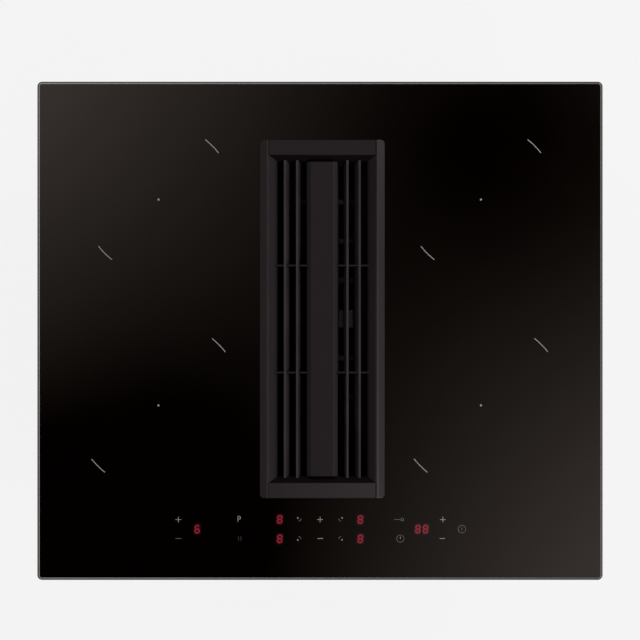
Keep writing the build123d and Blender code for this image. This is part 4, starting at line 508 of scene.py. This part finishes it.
def add_piece(name, shape, material, body="housing", smooth=False):
    """Turns a bmesh into a named object of one slot that rides on a body."""
    bmesh.ops.recalc_face_normals(shape, faces=shape.faces)
    mesh = bpy.data.meshes.new(name)
    shape.to_mesh(mesh)
    shape.free()
    mesh.materials.append(material)
    if smooth:
        mesh.shade_smooth()
    piece = bpy.data.objects.new(name, mesh)
    bpy.context.scene.collection.objects.link(piece)
    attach(piece, body)


# A screw's pan head: how far its foot is sunk in the seat, in millimetres, and the radius and height of each
# ring, as shares of the head's radius. The last two rings are the drive's, and every third of their points is
# drawn in.
HEAD_POINTS = 18
HEAD_SUNK = 0.2
HEAD_RINGS = ((1.0, 0.22), (0.9, 0.46), (0.62, 0.62), (0.5, 0.64), (0.46, 0.25))
DRIVE_RINGS = 2
DRIVE_HOLLOW = 0.72


def pan_head(shape, seat, axis, radius):
    """Screw head with a six-lobed drive, turned about its axis."""
    turn = axis.to_track_quat("Z", "Y").to_matrix()
    rings = [(radius, -HEAD_SUNK)] + [(radius * out, radius * up) for out, up in HEAD_RINGS]
    loops = []
    for index, (out, up) in enumerate(rings):
        loop = []
        for i in range(HEAD_POINTS):
            angle = 2 * math.pi * i / HEAD_POINTS
            hollow = index >= len(rings) - DRIVE_RINGS and i % 3 == 0
            reach = out * DRIVE_HOLLOW if hollow else out
            point = Vector((math.cos(angle) * reach, math.sin(angle) * reach, up))
            loop.append(seat + turn @ (point * MM))
        loops.append(loop)
    bridge(shape, loops)


def screw_group(name, seats, axis, radius):
    """Pan-head screws on the given seats."""
    shape = bmesh.new()
    for seat in seats:
        pan_head(shape, seat, axis, radius)
    add_piece(name, shape, LOOKS["bright_steel"])


# A rib: how deep its root is in the wall, in millimetres, half its width at the crest, as a share of the
# width, and how far its ends slope, as a share of its reach.
RIB_SUNK = 0.3
RIB_CREST = 0.32
RIB_END_SLOPE = 0.8


def rib(shape, start, end, out, width, reach):
    """Low rib with drafted sides and ends, from start to end; width and reach in millimetres."""
    along = (end - start).normalized()
    side = along.cross(out).normalized()
    loops = []
    for lift, half, inset in ((-RIB_SUNK, width / 2, 0.0), (reach, width * RIB_CREST, reach * RIB_END_SLOPE)):
        a = start + along * inset * MM + out * lift * MM
        b = end - along * inset * MM + out * lift * MM
        loops.append([p + side * s * half * MM for p, s in ((a, -1), (b, -1), (b, 1), (a, 1))])
    bridge(shape, loops)


def upright_rib(shape, wall, out, heights, width, reach):
    """Rib up a wall at one of its points, between two heights in millimetres."""
    low, high = (Vector((wall.x, wall.y, z * MM)) for z in heights)
    rib(shape, low, high, out, width, reach)


# A bead's loops: share of its width, and share of its height.
BEAD_POINTS = 16
BEAD_LOOPS = ((1.0, -0.1), (0.8, 0.55), (0.45, 1.0))


def bead(shape, middle, along, out, length, width, height):
    """Pressed stiffening bead with round ends; sizes in millimetres."""
    side = along.cross(out)
    loops = []
    for grow, lift in BEAD_LOOPS:
        radius = width / 2 * grow
        loop = []
        for i in range(BEAD_POINTS):
            angle = 2 * math.pi * (i + 0.5) / BEAD_POINTS
            shift = math.copysign(length / 2 - width / 2, math.cos(angle))
            flat = along * (shift + radius * math.cos(angle)) + side * radius * math.sin(angle)
            loop.append(middle + (flat + out * height * lift) * MM)
        loops.append(loop)
    bridge(shape, loops)


def suction_box_screws():
    """Screws below the flange: six along each long side, three at each end."""
    long_side_out, end_out = 103, 200
    below_long_side, below_end = -90, -60
    seats = [seat_on("suction_box", (VENT_X + side * long_side_out, BOX_Y + y, below_long_side), UP)
             for side in SIDES.values() for y in (-188, -113, -38, 38, 113, 188)]
    seats += [seat_on("suction_box", (VENT_X + x, BOX_Y + end * end_out, below_end), UP)
              for end in ENDS for x in (-50, 0, 50)]
    screw_group("suction_box_screws", seats, DOWN, radius=3.2)


def suction_box_ribs():
    """Ribs down the box's four walls, 35 mm apart."""
    heights = (-96.5, -51.5)
    beyond_side, beyond_end, level = 140, 230, -75
    shape = bmesh.new()
    for side in SIDES.values():
        out = Vector((side, 0, 0))
        for y in range(-165, 186, 35):
            wall = seat_on("suction_box", (side * beyond_side, y, level), -out)
            upright_rib(shape, wall, out, heights, width=2.4, reach=2.6)
    for end in ENDS:
        out = Vector((0, end, 0))
        for x in range(-70, 71, 35):
            wall = seat_on("suction_box", (VENT_X + x, BOX_Y + end * beyond_end, level), -out)
            upright_rib(shape, wall, out, heights, width=2.4, reach=2.6)
    add_piece("suction_box_ribs", shape, LOOKS["housing_plastic"])


LUG_FOOT = -182.6
LUG_TOP = -178.0


def lug(shape, wall, out):
    """Screw lug on the scroll's wall, a little narrower at its top than at its foot."""
    across = UP.cross(out)
    loops = []
    for z, half in ((LUG_FOOT, 5.5), (LUG_TOP, 5.0)):
        corners = [(-0.5, -half - 2), (7, -half), (9.5, -half / 2)]
        corners += [(o, -a) for o, a in reversed(corners)]
        loops.append([Vector((wall.x, wall.y, z * MM)) + (out * o + across * a) * MM for o, a in corners])
    bridge(shape, loops)


def scroll_details():
    """Upright ribs round the scroll; clear of the tank each third one is a lug with a screw for the floor."""
    beyond_wall, level = 260, -140
    tank_rear = -48
    screw_out = 5
    ribs = bmesh.new()
    lugs = bmesh.new()
    lug_seats = []
    for index, turn in enumerate(range(98, 356, 12)):
        out = Vector((math.cos(math.radians(turn)), math.sin(math.radians(turn)), 0))
        start = (VENT_X + beyond_wall * out.x, BLOWER_Y + beyond_wall * out.y, level)
        wall, normal = surface("scroll_housing", start, -out)
        normal.z = 0
        normal.normalize()
        clear_of_tank = wall.y > tank_rear * MM
        if index % 3 == 0 and clear_of_tank:
            lug(lugs, wall, normal)
            lug_seats.append(Vector((wall.x, wall.y, LUG_FOOT * MM)) + normal * screw_out * MM)
        else:
            upright_rib(ribs, wall, normal, (-182.5, -99.0), width=2.2, reach=2.2)
    add_piece("scroll_ribs", ribs, LOOKS["housing_plastic"])
    add_piece("scroll_lugs", lugs, LOOKS["housing_plastic"])
    screw_group("scroll_screws", lug_seats, DOWN, radius=2.6)


def bracket_screws():
    """Two screws hold each bracket to the tray's wall."""
    beyond_bracket, bracket_y, level = 289, 150, -12
    for name, side in SIDES.items():
        out = Vector((side, 0, 0))
        seats = [seat_on("hold_down_brackets", (side * beyond_bracket, end * bracket_y + shift, level), -out)
                 for end in ENDS for shift in (-7, 7)]
        screw_group(f"bracket_screws_{name}", seats, out, radius=2.4)


def tray_beads():
    """Pressed beads stiffen the tray's floor and its front and rear walls."""
    bead_x, below_floor = 190, -80
    beyond_wall, level = 260, -24
    shape = bmesh.new()
    for side in SIDES.values():
        for y in (-95, -60, -25):
            seat = seat_on("hob_tray", (side * bead_x, y, below_floor), UP)
            bead(shape, seat, RIGHT, DOWN, length=120, width=9, height=1.4)
    for end in ENDS:
        out = Vector((0, end, 0))
        for x in (-155, 0, 155):
            seat = seat_on("hob_tray", (x, end * beyond_wall, level), -out)
            bead(shape, seat, RIGHT, out, length=110, width=8, height=1.2)
    add_piece("tray_beads", shape, LOOKS["galvanised_sheet"], smooth=True)


def driver_box_details():
    """The blower's driver box: nine cooling ribs below it, and a screw near each of its lower corners."""
    low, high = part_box("blower_driver")
    first_rib, rib_pitch, rib_inset = 10, 5, 14
    shape = bmesh.new()
    for i in range(9):
        x = low.x + (first_rib + rib_pitch * i) * MM
        start = Vector((x, low.y + rib_inset * MM, low.z))
        end = Vector((x, high.y - rib_inset * MM, low.z))
        rib(shape, start, end, DOWN, width=2.0, reach=2.4)
    add_piece("driver_ribs", shape, LOOKS["housing_plastic"])
    inset_x, inset_y = 6, 7
    corners = [Vector((x, y, low.z)) for x in (low.x + inset_x * MM, high.x - inset_x * MM)
               for y in (low.y + inset_y * MM, high.y - inset_y * MM)]
    screw_group("driver_screws", corners, DOWN, radius=2.4)


def tank_ribs():
    """Ribs on the tank's sides, and a row of shorter grip ribs at its front."""
    beyond_side, side_level = 130, -150
    before_front, front_level = -260, -165
    shape = bmesh.new()
    for side in SIDES.values():
        out = Vector((side, 0, 0))
        for y in range(-205, -80, 24):
            wall = seat_on("overflow_tank", (VENT_X + side * beyond_side, y, side_level), -out)
            upright_rib(shape, wall, out, (-176, -126), width=2.0, reach=1.4)
    out = Vector((0, -1, 0))
    for x in range(-60, 61, 12):
        wall = seat_on("overflow_tank", (VENT_X + x, before_front, front_level), -out)
        upright_rib(shape, wall, out, (-176, -150), width=2.0, reach=0.9)
    add_piece("tank_ribs", shape, LOOKS["tank_plastic"], "tank")


def outlet_beads():
    """Snap beads near the outlet's mouth, for the duct that slides over it."""
    bead_y, above, side_level = 246, -60, -141.5
    shape = bmesh.new()
    for x in (40, 101.4, 163):
        seat = seat_on("outlet_spigot", (x, bead_y, above), DOWN)
        bead(shape, seat, RIGHT, UP, length=34, width=4, height=1.0)
    for side, beyond_side in ((-1, -40), (1, 240)):
        out = Vector((side, 0, 0))
        seat = seat_on("outlet_spigot", (beyond_side, bead_y, side_level), -out)
        bead(shape, seat, UP, out, length=40, width=4, height=1.0)
    add_piece("outlet_beads", shape, LOOKS["housing_plastic"], smooth=True)


def terminal_screws():
    """The five screws on top of the terminal block."""
    screw_y = 221
    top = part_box("terminal_block")[1].z
    seats = [Vector((x * MM, screw_y * MM, top)) for x in (-252, -243.5, -235, -226.5, -218)]
    screw_group("terminal_screws", seats, UP, radius=2.6)


suction_box_screws()
suction_box_ribs()
scroll_details()
bracket_screws()
tray_beads()
driver_box_details()
tank_ribs()
outlet_beads()
terminal_screws()

# ---------------------------------------------------------------- shapes for the prints
PRINT_HEIGHT = 0.03 * MM
LINE_WIDTH = 0.9 * MM
FINE_LINE = 0.65 * MM
RING_LINE = 0.6 * MM
HAND_LINE = 0.7 * MM
STRONG_LINE = 0.8 * MM


def plate(name, loops, height, material):
    """Thin raised shapes on the glass: each loop is one face, lifted to the height."""
    shape = bmesh.new()
    for loop in loops:
        shape.faces.new([shape.verts.new((x, y, GLASS_TOP)) for x, y in loop])
    bmesh.ops.recalc_face_normals(shape, faces=shape.faces)
    for face in shape.faces:
        if face.normal.z < 0:
            face.normal_flip()
    lifted = bmesh.ops.extrude_face_region(shape, geom=list(shape.faces), use_keep_orig=True)
    upper = [v for v in lifted["geom"] if isinstance(v, bmesh.types.BMVert)]
    bmesh.ops.translate(shape, vec=(0, 0, height), verts=upper)
    add_piece(name, shape, material)


def bar(start, end, width):
    """One straight stroke as a four-cornered loop."""
    along = (end - start).normalized()
    side = Vector((-along.y, along.x)) * width / 2
    return [start + side, end + side, end - side, start - side]


def upright(middle, low, high, width=FINE_LINE):
    """A stroke from front to rear, between two distances from a point."""
    return bar(middle + Vector((0, low)), middle + Vector((0, high)), width)


def level(middle, left, right, width=FINE_LINE):
    """A stroke from left to right, between two distances from a point."""
    return bar(middle + Vector((left, 0)), middle + Vector((right, 0)), width)


def arc_strip(middle, radius, width, start, end, steps=8):
    """An arc as short four-cornered loops, angles in degrees from +X."""
    loops = []
    for i in range(steps):
        a = math.radians(start + (end - start) * i / steps)
        b = math.radians(start + (end - start) * (i + 1) / steps)
        inner, outer = radius - width / 2, radius + width / 2
        corners = [(a, inner), (b, inner), (b, outer), (a, outer)]
        loops.append([middle + Vector((math.cos(t), math.sin(t))) * r for t, r in corners])
    return loops


def disc(middle, radius, sides):
    turns = [2 * math.pi * i / sides for i in range(sides)]
    return [middle + Vector((math.cos(t), math.sin(t))) * radius for t in turns]


# ---------------------------------------------------------------- zone marks and touch symbols
# All these places are points of the photograph.
REAR_RADIUS = 79.3 * MM
FRONT_RADIUS = 89.4 * MM
ZONES = {
    (158.6, 199.6): REAR_RADIUS,
    (481.0, 199.6): REAR_RADIUS,
    (158.5, 405.4): FRONT_RADIUS,
    (480.9, 405.3): FRONT_RADIUS,
}
ZONE_ARC_LENGTH = 19.8 * MM
ZONE_DOT_RADIUS = 1.1 * MM
PLUS_ROW = 519.6
MINUS_ROW = 538.5
BOOST_STEM = (238.0, 518.9)
PAUSE = (239.8, 538.5)
CHOOSERS = {(298.5, 518.5): -45, (341.5, 518.6): 225, (298.5, 539.2): 45, (341.4, 539.2): 135}
LOCK_BOW = (402.3, 519.5)
LOCK_TIP = (394.2, 519.5)
CLOCK = (400.4, 538.6)
SWITCH = (461.9, 529.1)


def zone_marks():
    """A dot in the middle of each zone, and two short arcs of its rim."""
    loops = []
    for place, radius in ZONES.items():
        middle = on_glass(*place)
        loops.append(disc(middle, ZONE_DOT_RADIUS, 16))
        half = math.degrees(ZONE_ARC_LENGTH / radius) / 2
        for facing in (45.0, 225.0):
            loops += arc_strip(middle, radius, LINE_WIDTH, facing - half, facing + half)
    plate("zone_marks", loops, PRINT_HEIGHT, PRINT)


def minus(middle, reach):
    return [level(middle, -reach, reach)]


def plus(middle, reach):
    """A minus, and a stroke above and below it that end at its sides."""
    meet = FINE_LINE / 2
    return [*minus(middle, reach), upright(middle, meet, reach), upright(middle, -reach, -meet)]


def boost_letter():
    """A stem, and a bowl joined to it by two short strokes."""
    stem = on_glass(*BOOST_STEM)
    half_height = 3.1 * MM
    bowl_x, bowl_radius = 1.3 * MM, 1.45 * MM
    bowl_top, bowl_foot = 2.8 * MM, -0.1 * MM
    bowl = stem + Vector((bowl_x, (bowl_top + bowl_foot) / 2))
    loops = [upright(stem, -half_height, half_height)]
    loops += arc_strip(bowl, bowl_radius, FINE_LINE, -90.0, 90.0)
    return loops + [level(stem + Vector((0, y)), FINE_LINE / 2, bowl_x) for y in (bowl_top, bowl_foot)]


def pause_symbol():
    """Two upright strokes."""
    half_gap, half_height = 1.2 * MM, 2.4 * MM
    middles = [on_glass(*PAUSE) + Vector((x, 0)) for x in (-half_gap, half_gap)]
    return [upright(middle, -half_height, half_height, STRONG_LINE) for middle in middles]


def chooser(place, facing):
    """A zone chooser: a dot at the outer corner, and apart from it the arc across from the dot."""
    middle = on_glass(*place)
    inward = Vector((math.cos(math.radians(facing)), math.sin(math.radians(facing))))
    dot = disc(middle - inward * 0.95 * MM, 0.8 * MM, 12)
    return dot, arc_strip(middle + inward * 0.85 * MM, 2.0 * MM, RING_LINE, facing - 60, facing + 60)


def lock_symbol():
    """A key: a ring for its bow, and a shank."""
    bow, tip = on_glass(*LOCK_BOW), on_glass(*LOCK_TIP)
    ring_radius, shank_start, shank_width = 1.35 * MM, 1.75 * MM, 0.55 * MM
    ring = arc_strip(bow, ring_radius, STRONG_LINE, 0, 360, 14)
    return [*ring, bar(tip, bow - Vector((shank_start, 0)), shank_width)]


def ring(place, radius):
    return arc_strip(on_glass(*place), radius, RING_LINE, 0, 360, 24)


def touch_symbols():
    """The symbols, in three shades of print: bright, dim and faint."""
    bright, dim, faint = [], [], []
    # each stepper: x of its plus and of its minus, half the minus in millimetres, and the minus's shade
    steppers = ((178.4, 178.4, 3.0, dim), (320.2, 320.2, 3.0, bright), (442.9, 442.5, 2.7, bright))
    for plus_x, minus_x, reach, strokes in steppers:
        bright += plus(on_glass(plus_x, PLUS_ROW), 2.9 * MM)
        strokes += minus(on_glass(minus_x, MINUS_ROW), reach * MM)
    bright += boost_letter()
    faint += pause_symbol()
    for place, facing in CHOOSERS.items():
        dot, arc = chooser(place, facing)
        bright.append(dot)
        dim += arc
    dim += lock_symbol()
    dim += ring(CLOCK, 3.8 * MM)
    bright.append(upright(on_glass(*CLOCK), -0.3 * MM, 2.0 * MM, HAND_LINE))
    dim += ring(SWITCH, 3.9 * MM)
    dim.append(upright(on_glass(*SWITCH), -1.3 * MM, 1.6 * MM, HAND_LINE))
    plate("touch_symbols", bright, PRINT_HEIGHT, PRINT)
    plate("dim_symbols", dim, PRINT_HEIGHT, DIM_PRINT)
    plate("faint_symbols", faint, PRINT_HEIGHT, FAINT_PRINT)


zone_marks()
touch_symbols()

# ---------------------------------------------------------------- lit figures
DIGIT_HALF_X = 2.9 * MM
DIGIT_HALF_Y = 4.6 * MM
DIGIT_SLANT = 0.06
SEGMENT = 1.5 * MM
SEGMENT_GAP = 0.12 * MM

# Middle of each figure, a point of the photograph, and the segments that are off: a six, and six eights.
EIGHTS = [(279.8, 519.4), (279.8, 538.8), (360.4, 519.6), (360.4, 538.8), (418.0, 529.1), (425.5, 529.1)]
DIGITS = {(197.3, 529.2): ["upper_right"], **{place: [] for place in EIGHTS}}

# Light round a figure: how far it reaches past the figure and its corner radius, in millimetres, its share of
# the print's height, and its strength.
GLOWS = {
    "counter_glow": (-0.3, 0.8, 0.75, 0.055),
    "near_glow": (0.8, 2.0, 0.5, 0.016),
    "wide_glow": (1.9, 3.0, 0.25, 0.004),
}


def slanted(middle, loop):
    return [middle + Vector((x + DIGIT_SLANT * y, y)) for x, y in loop]


def digit_loops(middle, dark):
    """The lit ones of a figure's seven segments, each a pointed bar; dark names those that are off."""
    segments = {}
    t = SEGMENT / 2
    right, top = DIGIT_HALF_X - t, DIGIT_HALF_Y - t
    a, b = -right + SEGMENT_GAP, right - SEGMENT_GAP
    for name, y in (("bottom", -top), ("middle", 0.0), ("top", top)):
        segments[name] = [(a, y), (a + t, y + t), (b - t, y + t), (b, y), (b - t, y - t), (a + t, y - t)]
    halves = {"lower": (-top + SEGMENT_GAP, -SEGMENT_GAP), "upper": (SEGMENT_GAP, top - SEGMENT_GAP)}
    for side, x in (("left", -right), ("right", right)):
        for half, (low, high) in halves.items():
            rising = [(x, low), (x + t, low + t), (x + t, high - t)]
            falling = [(x, high), (x - t, high - t), (x - t, low + t)]
            segments[f"{half}_{side}"] = rising + falling
    return [slanted(middle, loop) for name, loop in segments.items() if name not in dark]


def halo(middle, grow, radius):
    """Rounded field round a figure."""
    straight_x, straight_y = DIGIT_HALF_X + grow - radius, DIGIT_HALF_Y + grow - radius
    loop = []
    for i in range(24):
        turn = 2 * math.pi * (i + 0.5) / 24
        x, y = math.cos(turn), math.sin(turn)
        loop.append((math.copysign(straight_x, x) + x * radius, math.copysign(straight_y, y) + y * radius))
    return slanted(middle, loop)


lit_loops = []
for place, dark in DIGITS.items():
    lit_loops += digit_loops(on_glass(*place), dark)
plate("lit_digits", lit_loops, PRINT_HEIGHT, LOOKS["display_red"])
for name, (grow, radius, share, strength) in GLOWS.items():
    fields = [halo(on_glass(*place), grow * MM, radius * MM) for place in DIGITS]
    plate(name, fields, share * PRINT_HEIGHT, glow_look(name, strength))

# ---------------------------------------------------------------- floor, world, lights and camera
# Sizes and places here are in metres.
PALE = (0.925, 0.925, 0.925, 1.0)
FLOOR_GREY = (0.82, 0.82, 0.82, 1.0)
SKY_COLOUR = (1.0, 0.95, 0.94, 1.0)
FLOOR_HALF = 8.0
FLOOR_Z = cad_low.z - 0.5 * MM
FLOOR_OWN_LIGHT = 0.93
KEY_X, KEY_Y, KEY_Z = 1.36, 1.14, 1.25
FILL_PLACE = (-1.4, 1.3, 1.3)


def floor_look():
    """Matt to the light; to the camera and in mirrors pale of its own, with a matt share for the shadow."""
    material = bpy.data.materials.new("studio_floor")
    material.use_nodes = True
    nodes = Nodes(material.node_tree)
    path = nodes.node("LightPath").outputs
    seen = nodes.math("MAXIMUM", path["Is Camera Ray"], path["Is Glossy Ray"])
    matt = nodes.node("BsdfDiffuse", Color=FLOOR_GREY)
    pale = nodes.node("Emission", Color=PALE)
    nodes.node("OutputMaterial", Surface=nodes.mixed_shaders(nodes.times(seen, FLOOR_OWN_LIGHT), matt, pale))
    return material


def build_floor():
    corners = [(x * FLOOR_HALF, y * FLOOR_HALF, FLOOR_Z) for x, y in ((-1, -1), (1, -1), (1, 1), (-1, 1))]
    mesh = bpy.data.meshes.new("floor")
    mesh.from_pydata(corners, [], [(0, 1, 2, 3)])
    mesh.materials.append(floor_look())
    floor = bpy.data.objects.new("floor", mesh)
    bpy.context.scene.collection.objects.link(floor)


def overhead_patches(nodes, axes):
    """Two light and two dark patches near the zenith, which the glass mirrors.

    One unit of x or y is a tenth of the direction's length.
    """
    units, shift_y, base, brightest = 10.0, 0.037, 0.07, 0.95
    x = nodes.times(axes["X"], units)
    y = nodes.total(nodes.times(axes["Y"], units), shift_y)
    xx, yy = nodes.times(x, x), nodes.times(y, y)
    # light at the front right and rear left, dark at the other two corners, and weaker further out
    crossed = nodes.times(nodes.times(x, y), -1.0)
    fade = nodes.math("SUBTRACT", 0.84, nodes.total(nodes.times(xx, 0.11), nodes.times(yy, 0.26)))
    # lighter outward, most of all in the corners, and a little lighter to the right and to the rear
    outward = nodes.total(nodes.times(xx, 0.20), nodes.times(yy, 0.09))
    corners = nodes.total(nodes.times(nodes.times(xx, yy), 0.22), base)
    tilt = nodes.times(nodes.total(x, y), 0.04)
    patches = nodes.total(nodes.times(crossed, fade), outward, corners, tilt)
    return nodes.math("MAXIMUM", nodes.math("MINIMUM", patches, brightest), 0.0)


def studio_round(nodes, axes):
    """A light ring overhead, a broad light side to the right, a weaker one to the left, and dim elsewhere."""

    def smooth(value, *limits):
        return nodes.span(value, *limits, interpolation="SMOOTHSTEP")

    ring_above = smooth(axes["Z"], 0.72, 0.9, 0.03, 0.26)
    right = nodes.times(smooth(axes["X"], 0.15, 0.75, 0.0, 0.42), smooth(axes["Z"], 0.0, 0.6, 0.6, 1.0))
    leftward = nodes.times(axes["X"], -1.0)
    left = nodes.times(smooth(leftward, 0.15, 0.75, 0.0, 0.36), smooth(axes["Z"], 0.1, 0.6, 0.35, 1.0))
    return nodes.total(ring_above, nodes.total(right, left))


def build_world():
    """Soft sky: pale for the camera, and for the rest the overhead patches and the studio round them."""
    world = bpy.data.worlds.new("studio")
    bpy.context.scene.world = world
    world.use_nodes = True
    nodes = Nodes(world.node_tree)
    axes = nodes.node("SeparateXYZ", Vector=nodes.node("TexCoord").outputs["Generated"]).outputs
    overhead = nodes.span(axes["Z"], 0.972, 0.988, interpolation="SMOOTHSTEP")
    near = nodes.times(overhead_patches(nodes, axes), overhead)
    far = nodes.times(studio_round(nodes, axes), nodes.math("SUBTRACT", 1.0, overhead))
    light = nodes.node("Background", Color=SKY_COLOUR, Strength=nodes.total(near, far))
    pale = nodes.node("Background", Color=PALE)
    path = nodes.node("LightPath").outputs
    nodes.node("OutputWorld", Surface=nodes.mixed_shaders(path["Is Camera Ray"], light, pale))


def area_light(name, place, size, watts):
    """Round lamp that faces the frame's origin, in the middle of the cooktop."""
    lamp = bpy.data.lights.new(name, "AREA")
    lamp.shape = "DISK"
    lamp.size = size
    lamp.energy = watts
    holder = bpy.data.objects.new(name, lamp)
    holder.location = place
    holder.rotation_euler = (-Vector(place)).to_track_quat("-Z", "Y").to_euler()
    bpy.context.scene.collection.objects.link(holder)
    return holder


def build_camera():
    """Looks straight down from above the glass, with the lens that gives the photograph's frame."""
    camera = bpy.data.cameras.new("camera")
    camera.sensor_width = SENSOR
    camera.lens = SENSOR * CAMERA_DISTANCE / (IMAGE_SIDE * PIXEL)
    camera.clip_end = 50.0
    viewer = bpy.data.objects.new("camera", camera)
    viewer.location = (0.0, on_glass(IMAGE_SIDE / 2, IMAGE_SIDE / 2).y, GLASS_TOP + CAMERA_DISTANCE)
    bpy.context.scene.collection.objects.link(viewer)
    bpy.context.scene.camera = viewer


build_floor()
build_world()
for name, y in (("key_rear", KEY_Y), ("key_front", -KEY_Y)):
    area_light(name, (KEY_X, y, KEY_Z), size=0.9, watts=20.0)
fill = area_light("fill", FILL_PLACE, size=1.4, watts=12.0)
# its disc would show with a hard rim in the glass
fill.visible_glossy = False
build_camera()
bpy.context.scene.view_settings.view_transform = "Standard"
